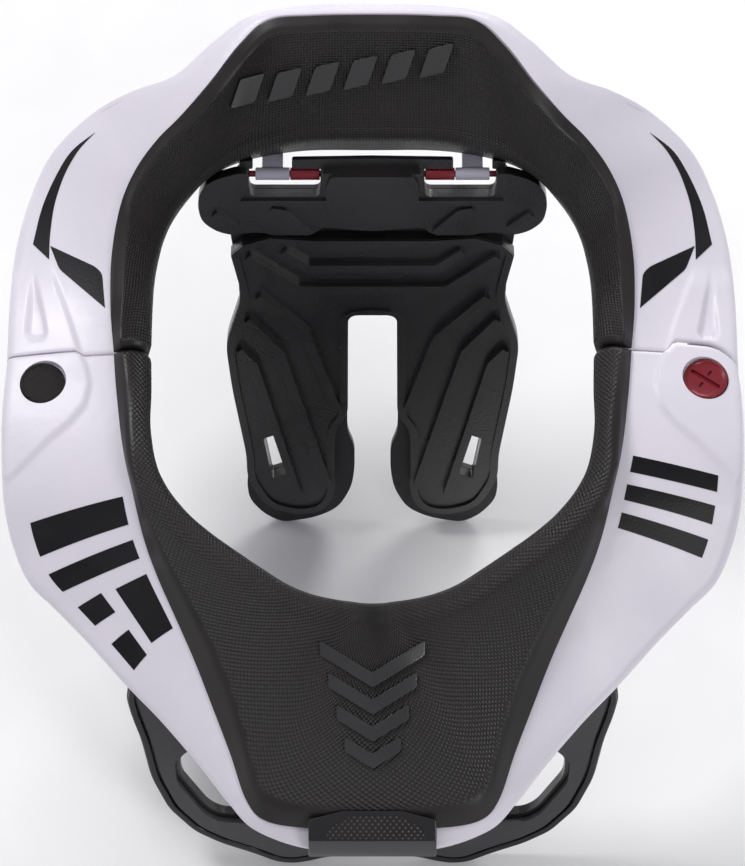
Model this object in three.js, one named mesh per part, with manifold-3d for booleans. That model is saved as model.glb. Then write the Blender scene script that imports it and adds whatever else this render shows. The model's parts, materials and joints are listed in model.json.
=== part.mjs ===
// Motocross neck brace: two hinged shell halves around the neck, moulded foam pads on them,
// a folding back strut and a chest plate. Millimetres. While it is shaped, x is across, y runs
// to the back, z is up, and z = 0 lies just above the two side hinges. At the end the whole
// brace is set down on its strut feet and chest pad with the origin under its middle.
import * as THREE from 'three';
import { mergeVertices } from 'three/addons/utils/BufferGeometryUtils.js';
import Module from 'manifold-3d';

const wasm = await Module();
wasm.setup();

// Ring
const HALF_WIDTH = 150;      // centre line to the outer shoulder beside a hinge
const REAR_REACH = 160;      // hinge cross line to the back of the rear shell
const FRONT_REACH = 150;     // hinge cross line to the nose of the front shell
const REAR_RISE = 80;        // height of the rear collar over the hinge level
const FRONT_DROP = 80;       // depth of the front nose under the hinge level
const SHELL_WALL = 2.6;
const PAD_THICKNESS = 6;
const PAD_LIP = 1.6;         // pad thickness at its rolled lower lip
const CREST_ROUND = 4.5;
const SHOULDER_ROUND = 4;
const CLEARANCE = 0.3;
const SEAM_GAP = 0.8;
const SEAM_STEP = 1.8;       // the left seam's step towards the front, inside the latch plateau
const SEAM_RUN = 4;          // width over which the seam makes such a step
const CUT_REACH = 40;        // how far a cutter runs past what it cuts

// Side hinge and latch
const PIN_INSET = 15;        // shoulder to the axis of the gate pin
const CAP_INSET = 16.5;      // shoulder to the centre of the latch cap
const CAP_BEHIND = 13;       // seam to the centre of the latch cap
const PIN_BEHIND = 11;       // seam to the pin axis
const KNUCKLE_RADIUS = 14.9; // rounded end of the front shell about the pin
const KNUCKLE_GAP = 1;
const DISC_RADIUS = 9;
const DISC_HEIGHT = 3.2;
const DISC_RECESS = 2.6;
const DISC_MARGIN = 0.5;
const BOSS_WALL = 2.6;
const BOSS_RIM = 2.4;        // boss beyond the disc
const BOSS_SUNK = 1.4;       // shell's outer face down to the top of the boss
const SHANK_RADIUS = 4;
const COIN_SLOT_WIDTH = 1.6;
const COIN_SLOT_DEPTH = 0.9;
const COIN_SLOT_RIM = 4.2;   // disc left whole at the slot's two ends together
const TONGUE_HALF_WIDTH = 6.2;
const TONGUE_THICKNESS = 3;
const TONGUE_REACH = 20;     // behind the seam
const RISER_SETBACK = 5;     // seam to the wall that carries the tongue

// Back strut
const REST_DEPTH = 171.5;    // hinge level down to the strut feet and the chest pad's edge
const STRUT_LEAN = 69;       // degrees from level
const HINGE_SETBACK = 9.5;   // strut axis in front of the rear shell's lip
const STRUT_HALF_WIDTH = 62;
const FRAME_THICKNESS = 3;
const BACK_PAD_THICKNESS = 6.5;
const RIB_HEIGHT = 2.2;
const RIB_WIDTH = 2.4;
const BRIDGE_HALF_WIDTH = 72;
const BRIDGE_HEIGHT = 32.5;
const BRIDGE_THICKNESS = 6;
const BARREL_RADIUS = 2.6;
const HINGE_SHAFT_RADIUS = 1.3;
const HINGE_RUNNING_GAP = 0.05;
const WINDOW_INNER = 21.3;
const WINDOW_OUTER = 50.6;
const WINDOW_ABOVE = 3;
const WINDOW_BELOW = 8;
const EYE_LENGTH = 4.6;
const BRIDGE_CROWN = 4.6;    // radius of the strut's top edge about the hinge axis
const ARM_INNER = 34;
const ARM_OUTER = 48;
const ARM_TAB_WIDTH = 8.5;
const ARM_THICKNESS = 2.8;
const ARM_DROP = 0.5;        // lip of the rear shell down to the top of an arm
const ARM_UNDER_SHELL = 9;
const ARM_FOOT_HEIGHT = 9;
const ARM_FOOT_GAP = 1.2;
const EYE_WALL = 1;
const PIN_END_INSET = 0.5;
const BACKPLATE_CORNER = 6;  // axis down to the backplate's widest place

// Chest plate and nose
const CHEST_LEAN = 65;       // degrees from level
const CHEST_HALF_WIDTH = 101;
const CHEST_DATUM_Y = -78.5;
const CHEST_DATUM_Z = -85;
const CHEST_PLATE_THICKNESS = 3;
const CHEST_PAD_THICKNESS = 5;
const CHEST_PAD_BORDER = 5;
const POST_SPAN = 52;
const POST_RADIUS = 6;
const POST_SETBACK = 3;
const CHEST_WINDOW_STEP = 2; // by how much the plate's windows are wider than the pad's
const NOSE_HALF_WIDTH = 25.5;
const NOSE_THICKNESS = 6.5;
const NOSE_OVERHANG = 3.2;
const NOSE_OVER_PAD = 4;     // how far the cap reaches up past the pad's foot
const NOSE_LIFT = 0.4;
const NOSE_FLAT = 4;
const NOSE_BROW = 3;
const NOSE_CHIN = 3.5;
const NOSE_CHAMFER = 1.2;
const NOSE_UNDER = 2;
const NOSE_BEHIND = 0.7;
const NOSE_SEAT = 0.8;

// Sections of the right half of the ring from the back of the neck to the nose. Each row
// holds lip, crest, pad foot, shoulder and rim, each as x, y, z in hundredths: x of the half
// width, y of the rear or front reach, z of the rear rise or front drop.
const RING = [
  [0, 79, 15, 0, 79.5, 33.5, 0, 93.8, 95, 0, 98.8, 91, 0, 89.4, 20],
  [16.7, 79, 15, 16.7, 79.2, 33.5, 16, 93.5, 95, 18, 98.4, 91, 18, 88.8, 20],
  [28.7, 77.8, 14.4, 29, 77.3, 32, 27.7, 92.5, 93.8, 33.3, 96, 88.8, 33.3, 86.5, 18.8],
  [38.7, 75.6, 12.5, 39.3, 75, 27.5, 35.7, 87, 87.5, 43.3, 91.3, 80, 44, 83, 16.3],
  [46.3, 71.9, 8.8, 47.3, 71.5, 21.3, 43.3, 79.4, 77.5, 54, 86.6, 62.5, 54.7, 80, 11.3],
  [51.3, 67.5, 3.8, 53, 67.2, 15, 51, 74.4, 62.5, 66.5, 88.6, 41, 67.3, 81.9, 5],
  [55.7, 63.1, -3.8, 57.3, 63, 7.5, 58, 71.3, 47.5, 78, 89, 18, 77.7, 81.9, -3.8],
  [59, 58.4, -11.3, 60.3, 58.1, 1.3, 64, 66.9, 32.5, 88.6, 83.6, 0, 88.3, 78.1, -15],
  [60.7, 53.1, -18.8, 62, 53.1, -3.8, 68.3, 60.6, 17.5, 94.3, 74.4, -11.3, 94.7, 71.3, -25],
  [62, 46.9, -25, 63, 46.9, -6.3, 70.7, 50, 5, 98, 60.6, -16.3, 98.3, 58.1, -31.3],
  [63, 40, -28.8, 63.3, 39.4, -7.5, 71, 37.8, -3.8, 99.3, 43.8, -17.5, 99.7, 43.1, -36.3],
  [63.3, 26.3, -31.3, 63.3, 26.3, -7.5, 70, 26.3, -8.8, 99.3, 26.3, -17.8, 100, 26.3, -38.8],
  [63, 15, -31.3, 63, 15, -8.1, 69, 15.3, -9.4, 100, 16.3, -18.8, 100.3, 16.3, -40],
  [63, 4.4, -31.3, 63, 4.4, -8.8, 67.7, 5.6, -11.3, 100.3, 6.3, -21.8, 100.5, 6.8, -43.8],
  [61.7, -6.7, -32.5, 61.3, -6.3, -11.3, 66, -3.3, -15, 100, -4, -27.5, 100, -2.7, -48.8],
  [58, -14.7, -35, 57.7, -14.3, -14.4, 64, -11.3, -20, 99.3, -12.3, -35, 99.3, -9.3, -55],
  [52.3, -21.8, -38.8, 52, -21.2, -18, 62.3, -18.7, -26.3, 97.3, -20.7, -47.5, 97, -16.4, -65],
  [46, -27.2, -41.3, 45.7, -26.6, -20.6, 60, -25.7, -33.8, 93, -29.3, -57.5, 92.7, -25.3, -73.8],
  [39, -32.3, -43, 38.7, -31.6, -22.5, 56.7, -33.3, -41.3, 85.7, -36, -63.8, 85.3, -32, -80],
  [31.7, -37, -45, 31.3, -36.6, -24.4, 52.3, -42, -50, 77.3, -44, -68.8, 77, -40.4, -83.8],
  [24.3, -41.6, -46.3, 24, -41.3, -25.6, 47.3, -52.3, -58.8, 66.7, -55.3, -75, 66.3, -52.1, -88.8],
  [17.7, -44.5, -46.9, 17.3, -44.2, -26, 42.7, -63.3, -66.3, 56.7, -65.3, -80, 56.3, -62.5, -92.5],
  [10.7, -46.1, -47.5, 10.7, -45.8, -26.3, 37.7, -75.7, -73.8, 46.7, -76.7, -85, 46.3, -74.1, -96.3],
  [6, -46.8, -47.5, 6, -46.5, -26.3, 33.3, -87.7, -81.3, 38.7, -86.7, -88.8, 38.3, -84.5, -98.8],
  [3.3, -47.1, -47.5, 3.3, -46.9, -26.3, 28, -93, -83.8, 31.3, -94, -91.3, 31, -92.2, -100],
  [1.3, -47.2, -47.5, 1.3, -47, -26.3, 16, -94.7, -85, 16.7, -98.7, -93.8, 16.7, -97.2, -101.3],
  [0, -47.2, -47.5, 0, -47, -26.3, 0, -94.7, -85, 0, -98.7, -93.8, 0, -97.2, -101.3],
];
const SEAM_ROW = 11;
const FOOT_INDEX = 9;        // the pad foot among the points of a section
const REAR_STEPS = 17;
const FRONT_STEPS = 20;
const SEAM_BLEND = 1.6;      // rows over which the sections slide to meet the seam line
const LAST_ROW = RING.length - 1;

// Half outlines in the plane of the strut: x in hundredths of its half width and the distance
// under the hinge axis in hundredths of its length.
const FRAME_OUTLINE = [
  [0, 18], [30, 18], [60, 17.5], [86, 19.5], [93, 23], [89, 33.5], [98, 47.5], [95, 60], [86, 84],
  [88, 88], [86.5, 93], [76, 97.5], [63.5, 100], [40, 98.5], [24, 95.5], [15, 89.5], [12.5, 84],
  [12.5, 77], [17.5, 72.5], [17.5, 37.5], [0, 37.5],
];
const BACK_PAD_OUTLINE = [
  [0, 15.6], [38, 15.6], [69, 14.9], [87, 16.9], [95, 19.7], [88, 30.7], [100, 44.6], [96.5, 57.1],
  [87.5, 77.1], [85.5, 81.6], [72, 89.6], [52, 91.6], [36, 90.6], [29, 87.1], [27, 77.1], [25.5, 69.1],
  [17, 65.1], [16.5, 36.3], [0, 36.3],
];
const STRAP_SLOT = [[75.5, 72.3], [66, 71.1], [59.5, 82.7], [70, 84.1]];
const RIBS = [
  [[84, 19.7], [50, 28.4], [0, 28.4]],
  [[60, 18.2], [43.5, 22.6], [0, 22.6]],
  [[77.5, 30.7], [44.5, 41.9], [24, 63]],
  [[85, 37.2], [63, 46.2], [31, 85.2]],
  [[91, 45.7], [81, 49.7], [52, 88.2]],
];
// Bridge: x in hundredths of its half width, distance under the axis in hundredths of its height.
const BRIDGE_OUTLINE = [
  [0, 80], [29, 69], [33, 83], [36, 86.5], [57, 87], [62, 82.5], [74, 82.5], [79, 86.5], [87, 82.5],
  [97, 67], [100, 40], [98, 30], [85, 24], [79, 8], [77, 0],
];
// Chest plate: x in hundredths of its half width, distance under the datum in hundredths of its
// length. Negative distances lie above the datum, behind the front shell.
const CHEST_OUTLINE = [
  [0, -12], [30, -20], [62, -26], [84, -22], [97, -10], [100, 0], [98, 12], [94.5, 26], [91, 48],
  [84.5, 66], [74, 80], [63, 87.5], [50, 93.5], [40, 99], [33, 100], [26, 98.5], [19, 96], [0, 95],
];
const CHEST_WINDOW = [
  [79, 37], [78.5, 48], [68, 66.5], [63, 70.5], [49, 72], [44, 64], [50, 46], [60, 34], [74, 31],
];

const V = (x, y, z) => new THREE.Vector3(x, y, z);
const share = (part, whole) => (part / 100) * whole;

function ringPoint(row, rail) {
  const [x, y, z] = RING[row].slice(3 * rail, 3 * rail + 3);
  return V(share(x, HALF_WIDTH), share(y, y < 0 ? FRONT_REACH : REAR_REACH),
    share(z, z < 0 ? FRONT_DROP : REAR_RISE));
}

// Point of one rail at a fractional row, mirrored past both ends so the halves meet smoothly.
function railAt(rail, t) {
  const at = (i) => {
    const p = ringPoint(i < 0 ? -i : i > LAST_ROW ? 2 * LAST_ROW - i : i, rail);
    if (i < 0 || i > LAST_ROW) p.x = -p.x;
    return p;
  };
  const i = Math.min(Math.floor(t), LAST_ROW - 1);
  const f = t - i;
  const [a, b, c, d] = [at(i - 1), at(i), at(i + 1), at(i + 2)];
  const mix = (k) => 0.5 * (2 * b[k] + (c[k] - a[k]) * f + (2 * a[k] - 5 * b[k] + 4 * c[k] - d[k]) * f * f
    + (3 * b[k] - a[k] - 3 * c[k] + d[k]) * f ** 3);
  return V(mix('x'), mix('y'), mix('z'));
}

function corner(before, at, after, radius) {
  const inward = before.clone().sub(at);
  const outward = after.clone().sub(at);
  const reach = Math.min(radius, 0.45 * inward.length(), 0.45 * outward.length());
  const a = at.clone().addScaledVector(inward.normalize(), reach);
  const b = at.clone().addScaledVector(outward.normalize(), reach);
  const middle = a.clone().add(b).multiplyScalar(0.25).addScaledVector(at, 0.5);
  return [a, middle, b];
}

// Outer surface of the shells across one section, from the lip over crest, pad foot and
// shoulder down to the rim.
function section(t) {
  const [lip, crest, foot, shoulder, rim] = [0, 1, 2, 3, 4].map((rail) => railAt(rail, t));
  const mid = (a, b, f) => a.clone().lerp(b, f);
  return [lip, mid(lip, crest, 0.25), mid(lip, crest, 0.5), ...corner(lip, crest, foot, CREST_ROUND),
    mid(crest, foot, 0.45), mid(crest, foot, 0.7), mid(crest, foot, 0.88), foot,
    mid(foot, shoulder, 0.5), ...corner(foot, shoulder, rim, SHOULDER_ROUND), rim];
}

// Seam between the halves, as a y that depends on x. On the right it rounds the gate pin.
const pinX = HALF_WIDTH - PIN_INSET;
const capX = -(HALF_WIDTH - CAP_INSET);
const seamY = ringPoint(SEAM_ROW, 0).y;
const pinY = seamY - PIN_BEHIND;
function seamAt(x, radius) {
  const dx = x - pinX;
  if (x < 0) return seamY - SEAM_STEP * THREE.MathUtils.smoothstep(x, capX + CAP_INSET - SEAM_RUN,
    capX + CAP_INSET);
  if (dx < -radius) return seamY;
  if (dx < 0) {
    const rise = Math.min(1, (dx + radius) / SEAM_RUN);
    return seamY + rise * (pinY + radius - seamY);
  }
  return pinY + Math.sqrt(Math.max(radius * radius - dx * dx, 1));
}

// Rows of section points from one fractional row to another, on both sides or one. The row at
// the seam is slid along the ring so that it follows the seam line.
function ringGrid(from, to, steps, seamSide) {
  const half = (side) => {
    const rows = [];
    for (let k = 0; k <= steps; k++) {
      const f = k / steps;
      const t = from + (to - from) * f;
      const rowsAway = Math.abs(t - SEAM_ROW);
      const here = section(t);
      if (rowsAway < SEAM_BLEND) {
        const pull = (1 - rowsAway / SEAM_BLEND) ** 2;
        const ahead = section(t + 0.02);
        const end = section(SEAM_ROW);
        for (let j = 0; j < here.length; j++) {
          const radius = seamSide > 0 ? KNUCKLE_RADIUS + KNUCKLE_GAP : KNUCKLE_RADIUS;
          const goal = seamAt(side * end[j].x, radius) + (seamSide * SEAM_GAP) / 2;
          const shift = (goal - end[j].y) * pull;
          const slope = ahead[j].clone().sub(here[j]);
          here[j].addScaledVector(slope, shift / slope.y);
        }
      }
      here.forEach((p) => { p.x *= side; });
      rows.push(here);
    }
    return rows;
  };
  return [half(-1), half(1)];
}

function joinHalves([left, right], centreFirst) {
  return centreFirst ? [...left.slice(1).reverse(), ...right] : [...left, ...right.slice(0, -1).reverse()];
}

function normalsOf(grid, flip) {
  const n = grid.length;
  const m = grid[0].length;
  return grid.map((row, i) => row.map((p, j) => {
    const along = grid[Math.min(i + 1, n - 1)][j].clone().sub(grid[Math.max(i - 1, 0)][j]);
    const across = row[Math.min(j + 1, m - 1)].clone().sub(row[Math.max(j - 1, 0)]);
    return along.cross(across).normalize().multiplyScalar(flip);
  }));
}

function offset(grid, normals, amount) {
  return grid.map((row, i) => row.map((p, j) =>
    p.clone().addScaledVector(normals[i][j], typeof amount === 'function' ? amount(j, i) : amount)));
}

// Closed body between two grids of the same size.
function slab(top, bottom) {
  const n = top.length;
  const m = top[0].length;
  const points = [...top.flat(), ...bottom.flat()];
  const id = (layer, i, j) => layer * n * m + i * m + j;
  const faces = [];
  const quad = (a, b, c, d) => faces.push(a, b, c, a, c, d);
  for (let i = 0; i < n - 1; i++) {
    for (let j = 0; j < m - 1; j++) {
      quad(id(0, i, j), id(0, i, j + 1), id(0, i + 1, j + 1), id(0, i + 1, j));
      quad(id(1, i, j), id(1, i + 1, j), id(1, i + 1, j + 1), id(1, i, j + 1));
    }
    quad(id(0, i, 0), id(0, i + 1, 0), id(1, i + 1, 0), id(1, i, 0));
    quad(id(0, i, m - 1), id(1, i, m - 1), id(1, i + 1, m - 1), id(0, i + 1, m - 1));
  }
  for (let j = 0; j < m - 1; j++) {
    quad(id(0, 0, j), id(1, 0, j), id(1, 0, j + 1), id(0, 0, j + 1));
    quad(id(0, n - 1, j), id(0, n - 1, j + 1), id(1, n - 1, j + 1), id(1, n - 1, j));
  }
  const geometry = new THREE.BufferGeometry();
  geometry.setAttribute('position', new THREE.Float32BufferAttribute(points.flatMap((p) => p.toArray()), 3));
  geometry.setIndex(faces);
  return outward(geometry);
}

function outward(geometry) {
  const position = geometry.getAttribute('position');
  const index = geometry.index;
  const [a, b, c] = [V(), V(), V()];
  let volume = 0;
  for (let f = 0; f < index.count; f += 3) {
    a.fromBufferAttribute(position, index.getX(f));
    b.fromBufferAttribute(position, index.getX(f + 1));
    c.fromBufferAttribute(position, index.getX(f + 2));
    volume += a.dot(b.cross(c));
  }
  if (volume < 0) {
    for (let f = 0; f < index.count; f += 3) {
      const first = index.getX(f);
      index.setX(f, index.getX(f + 1));
      index.setX(f + 1, first);
    }
  }
  return geometry;
}

function solid(geometry) {
  let bare = geometry.clone();
  bare.deleteAttribute('normal');
  bare.deleteAttribute('uv');
  bare = mergeVertices(bare, 1e-4);
  return new wasm.Manifold(new wasm.Mesh({
    numProp: 3,
    vertProperties: new Float32Array(bare.getAttribute('position').array),
    triVerts: new Uint32Array(bare.index.array),
  }));
}

function geometryOf(body) {
  const mesh = body.getMesh();
  const geometry = new THREE.BufferGeometry();
  geometry.setAttribute('position', new THREE.BufferAttribute(new Float32Array(mesh.vertProperties), 3));
  geometry.setIndex(new THREE.BufferAttribute(new Uint32Array(mesh.triVerts), 1));
  return geometry;
}

const moved = (geometry, x, y, z) => geometry.clone().translate(x, y, z);
const box = (x0, x1, y0, y1, z0, z1) => moved(new THREE.BoxGeometry(x1 - x0, y1 - y0, z1 - z0),
  (x0 + x1) / 2, (y0 + y1) / 2, (z0 + z1) / 2);
const upright = (radius, height, x, y, z, sides = 24) => moved(
  new THREE.CylinderGeometry(radius, radius, height, sides).rotateX(Math.PI / 2), x, y, z + height / 2);
const crosswise = (radius, x0, x1, sides = 20) => moved(
  new THREE.CylinderGeometry(radius, radius, x1 - x0, sides).rotateZ(Math.PI / 2), (x0 + x1) / 2, 0, 0);

function prism(outline, z0, z1) {
  const shape = new THREE.Shape(outline.map(([x, y]) => new THREE.Vector2(x, y)));
  return moved(new THREE.ExtrudeGeometry(shape, { depth: z1 - z0, bevelEnabled: false }), 0, 0, z0);
}
const mirrored = (half) => {
  const inner = half.filter(([x]) => x !== 0);
  const centre = (end) => (end && end[0] === 0 ? [end] : []);
  return [...centre(half[0]), ...inner, ...centre(half[half.length - 1]),
    ...inner.slice().reverse().map(([x, y]) => [-x, y])];
};
const flipped = (outline) => outline.map(([x, y]) => [-x, y]);

// Rear shell and pad, front shell and pad
const rearGrid = joinHalves(ringGrid(0, SEAM_ROW, REAR_STEPS, 1), true);
const frontGrid = joinHalves(ringGrid(SEAM_ROW, LAST_ROW, FRONT_STEPS, -1), false);
const upward = (grid) => {
  const middle = Math.floor(grid.length / 2);
  const trial = normalsOf(grid, 1)[middle][FOOT_INDEX - 1];
  return trial.z > 0 ? 1 : -1;
};
const rearNormals = normalsOf(rearGrid, upward(rearGrid));
const frontNormals = normalsOf(frontGrid, upward(frontGrid));

const shellOf = (grid, normals) => solid(slab(grid, offset(grid, normals, -SHELL_WALL)));
// Pad thickness across its section, from the rolled lip over full thickness to the bevelled foot.
const PAD_SHARES = [0, 0.3, 0.7, 0.95, 1, 1, 1, 1, 0.85, 0.12];
const padOf = (grid, normals) => {
  const rows = grid.map((row) => row.slice(0, FOOT_INDEX + 1));
  const turned = normals.map((row) => row.slice(0, FOOT_INDEX + 1));
  rows.forEach((row) => { row[0] = row[0].clone().lerp(row[1], 0.4); });
  const top = offset(rows, turned,
    (j) => CLEARANCE + Math.max(PAD_THICKNESS * PAD_SHARES[j], j ? 0 : PAD_LIP));
  return solid(slab(top, offset(rows, turned, CLEARANCE)));
};

let rearShell = shellOf(rearGrid, rearNormals);
let frontShell = shellOf(frontGrid, frontNormals);
const rearPad = padOf(rearGrid, rearNormals);
let frontPad = padOf(frontGrid, frontNormals);

// Bosses with a round recess for each disc, a shank bore, and the rear shell's tongues that
// reach under the front shell.
const surfaceZ = (x) => {
  const row = section(SEAM_ROW + 0.7);
  const f = (Math.abs(x) - row[FOOT_INDEX].x) / (row[FOOT_INDEX + 1].x - row[FOOT_INDEX].x) / 2;
  return THREE.MathUtils.lerp(row[FOOT_INDEX].z, row[FOOT_INDEX + 2].z, f);
};
const discBase = surfaceZ(pinX) - DISC_RECESS;
const bossBottom = discBase - BOSS_WALL;
const tongueTop = bossBottom - CLEARANCE;
const tongueBottom = tongueTop - TONGUE_THICKNESS;
const capY = seamY - CAP_BEHIND;
const tongueBack = seamY + TONGUE_REACH;
const riserFront = seamY + RISER_SETBACK;
const swing = solid(
  upright(KNUCKLE_RADIUS + KNUCKLE_GAP, 2 * CUT_REACH, pinX, pinY, discBase - CUT_REACH, 64));
rearShell = rearShell.subtract(swing);
for (const [x, y] of [[pinX, pinY], [capX, capY]]) {
  const boss = solid(
    upright(DISC_RADIUS + BOSS_RIM, surfaceZ(pinX) - BOSS_SUNK - bossBottom, x, y, bossBottom));
  const recess = solid(upright(DISC_RADIUS + DISC_MARGIN, CUT_REACH, x, y, discBase - CLEARANCE));
  const bore = solid(upright(SHANK_RADIUS + CLEARANCE, CUT_REACH, x, y, bossBottom - CUT_REACH / 2));
  frontShell = frontShell.add(boss).subtract(recess).subtract(bore);
  const tongue = solid(
    box(x - TONGUE_HALF_WIDTH, x + TONGUE_HALF_WIDTH, y, tongueBack, tongueBottom, tongueTop))
    .add(solid(upright(TONGUE_HALF_WIDTH, TONGUE_THICKNESS, x, y, tongueBottom)))
    .add(solid(box(x - TONGUE_HALF_WIDTH, x + TONGUE_HALF_WIDTH, riserFront, tongueBack, tongueBottom,
      surfaceZ(x) - SHELL_WALL / 2)));
  rearShell = rearShell.add(x > 0 ? tongue.subtract(bore) : tongue);
}

// Gate pin with a coin slot, and the latch cap: a disc with a shank through the front shell.
const coinSlot = solid(
  new THREE.BoxGeometry(2 * DISC_RADIUS - COIN_SLOT_RIM, COIN_SLOT_WIDTH, 2 * COIN_SLOT_DEPTH)
  .rotateZ(-Math.PI / 4).translate(pinX, pinY, discBase + DISC_HEIGHT));
const gatePin = solid(upright(DISC_RADIUS, DISC_HEIGHT, pinX, pinY, discBase, 32))
  .add(solid(upright(SHANK_RADIUS, discBase + DISC_HEIGHT / 2 - tongueBottom, pinX, pinY, tongueBottom)))
  .subtract(coinSlot);
const latchCap = solid(upright(DISC_RADIUS, DISC_HEIGHT, capX, capY, discBase, 32))
  .add(solid(upright(SHANK_RADIUS, discBase + DISC_HEIGHT / 2 - bossBottom, capX, capY, bossBottom)));

// Hinge arms under the rear lip, in the brace's frame. The strut's axis runs through their barrels.
const armX = (ARM_INNER + ARM_OUTER) / 2;
const lipAt = (x) => {
  let t = 0;
  while (railAt(0, t).x < x) t += 0.02;
  return railAt(0, t);
};
const armLip = lipAt(armX);
const hingeZ = armLip.z - ARM_DROP - ARM_THICKNESS / 2;
const hingeY = armLip.y - HINGE_SETBACK;
const hingeArms = [-1, 1].map((side) => {
  const bore = solid(crosswise(HINGE_SHAFT_RADIUS + HINGE_RUNNING_GAP, ARM_INNER - 1, ARM_OUTER + 1));
  const tab = box(armX - ARM_TAB_WIDTH / 2, armX + ARM_TAB_WIDTH / 2, 0, HINGE_SETBACK + ARM_UNDER_SHELL,
    -ARM_THICKNESS / 2, ARM_THICKNESS / 2);
  const foot = box(armX - ARM_TAB_WIDTH / 2, armX + ARM_TAB_WIDTH / 2, HINGE_SETBACK + SHELL_WALL + ARM_FOOT_GAP,
    HINGE_SETBACK + ARM_UNDER_SHELL, 0, ARM_FOOT_HEIGHT);
  const arm = solid(crosswise(BARREL_RADIUS, ARM_INNER, ARM_OUTER))
    .add(solid(tab)).add(solid(foot)).subtract(bore);
  return outward(geometryOf(arm).scale(side, 1, 1)).translate(0, hingeY, hingeZ);
});

// Strut, in its own plane: x across, y up the strut from the hinge axis, z towards the wearer.
const lean = THREE.MathUtils.degToRad(STRUT_LEAN);
const frameTop = -CLEARANCE;
const frameBottom = frameTop - FRAME_THICKNESS;
const strutLength = (hingeZ + REST_DEPTH + frameBottom * Math.cos(lean)) / Math.sin(lean);
const onStrut = (outline) => outline.map(([x, d]) => [share(x, STRUT_HALF_WIDTH), -share(d, strutLength)]);
const onBridge = (outline) =>
  outline.map(([x, d]) => [share(x, BRIDGE_HALF_WIDTH), -share(d, BRIDGE_HEIGHT)]);
const cutAll = (body, cutters) => cutters.reduce((rest, cutter) => rest.subtract(cutter), body);
const bothSides = (make) => [make(-1), make(1)];
const spanned = (side, inner, outer) => (side > 0 ? [inner, outer] : [-outer, -inner]);

const windows = bothSides((side) =>
  solid(box(...spanned(side, WINDOW_INNER, WINDOW_OUTER), -WINDOW_BELOW, WINDOW_ABOVE, -CUT_REACH, CUT_REACH)));
const strapSlots = [onStrut(STRAP_SLOT), flipped(onStrut(STRAP_SLOT))]
  .map((outline) => solid(prism(outline, -CUT_REACH, CUT_REACH)));
const eyeRadius = BARREL_RADIUS + EYE_WALL;
const eyePlaces = [WINDOW_INNER - EYE_LENGTH, WINDOW_OUTER];
const eyes = bothSides((side) => side).flatMap((side) =>
  eyePlaces.map((x) => solid(crosswise(eyeRadius, ...spanned(side, x, x + EYE_LENGTH)))));
const eyeSpaces = bothSides((side) => side).flatMap((side) => eyePlaces.map((x) =>
  solid(box(...spanned(side, x - CLEARANCE, x + EYE_LENGTH + CLEARANCE), -eyeRadius - CLEARANCE,
    eyeRadius + CLEARANCE, -eyeRadius - CLEARANCE, eyeRadius + CLEARANCE))));
const shaftReach = WINDOW_OUTER + EYE_LENGTH;
const shaftBore = solid(crosswise(HINGE_SHAFT_RADIUS + HINGE_RUNNING_GAP, -shaftReach, shaftReach));

const frameShoulder = share(22, strutLength);
const backplate = mirrored([[0, 0], [shaftReach + EYE_LENGTH, 0], [STRUT_HALF_WIDTH, -BACKPLATE_CORNER],
  [share(93, STRUT_HALF_WIDTH), -frameShoulder], [0, -frameShoulder]]);
let strutFrame = solid(prism(mirrored(onStrut(FRAME_OUTLINE)), frameBottom, frameTop))
  .add(solid(prism(backplate, frameBottom, frameTop)));
strutFrame = cutAll(strutFrame, [...windows, ...strapSlots]);
for (const eye of eyes) strutFrame = strutFrame.add(eye);
strutFrame = strutFrame.subtract(shaftBore);

const bridgeOutline = mirrored(onBridge(BRIDGE_OUTLINE));
const bridgeTop = share(BRIDGE_OUTLINE[BRIDGE_OUTLINE.length - 1][0], BRIDGE_HALF_WIDTH);
const behindPads = solid(box(-HALF_WIDTH, HALF_WIDTH, -HALF_WIDTH, HALF_WIDTH, -HALF_WIDTH, 0));
const bridgePad = cutAll(
  solid(prism(bridgeOutline, 0, BRIDGE_THICKNESS))
    .subtract(solid(box(-HALF_WIDTH, HALF_WIDTH, 0, HALF_WIDTH, -1, BRIDGE_THICKNESS + 1)))
    .subtract(solid(box(-HALF_WIDTH, HALF_WIDTH, -BRIDGE_CROWN, HALF_WIDTH, BRIDGE_CROWN, HALF_WIDTH)))
    .add(solid(crosswise(BRIDGE_CROWN, -bridgeTop, bridgeTop, 28))),
  [behindPads, ...windows, ...eyeSpaces],
);

const ridge = ([x0, y0], [x1, y1]) =>
  new THREE.BoxGeometry(Math.hypot(x1 - x0, y1 - y0) + RIB_WIDTH, RIB_WIDTH, 2 * RIB_HEIGHT)
    .rotateZ(Math.atan2(y1 - y0, x1 - x0))
    .translate((x0 + x1) / 2, (y0 + y1) / 2, BACK_PAD_THICKNESS);
let backPad = solid(prism(mirrored(onStrut(BACK_PAD_OUTLINE)), 0, BACK_PAD_THICKNESS));
for (const rib of RIBS) {
  for (const line of [onStrut(rib), flipped(onStrut(rib))]) {
    for (let k = 0; k < line.length - 1; k++) backPad = backPad.add(solid(ridge(line[k], line[k + 1])));
  }
}
const bridgeBelow = bridgeOutline.map(([x, y]) => [x, y - 2 * CLEARANCE]);
backPad = cutAll(backPad, [...strapSlots, solid(prism(bridgeBelow, -1, CUT_REACH))]);

// Each hinge pin: the red barrel beside the arm and a thin shaft through the arm and both eyes.
const hingePins = bothSides((side) => geometryOf(
  solid(crosswise(HINGE_SHAFT_RADIUS, ...spanned(side, WINDOW_INNER - EYE_LENGTH + PIN_END_INSET,
    shaftReach - PIN_END_INSET)))
    .add(solid(crosswise(BARREL_RADIUS, ...spanned(side, WINDOW_INNER + CLEARANCE, ARM_INNER - CLEARANCE)))),
));

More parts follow.
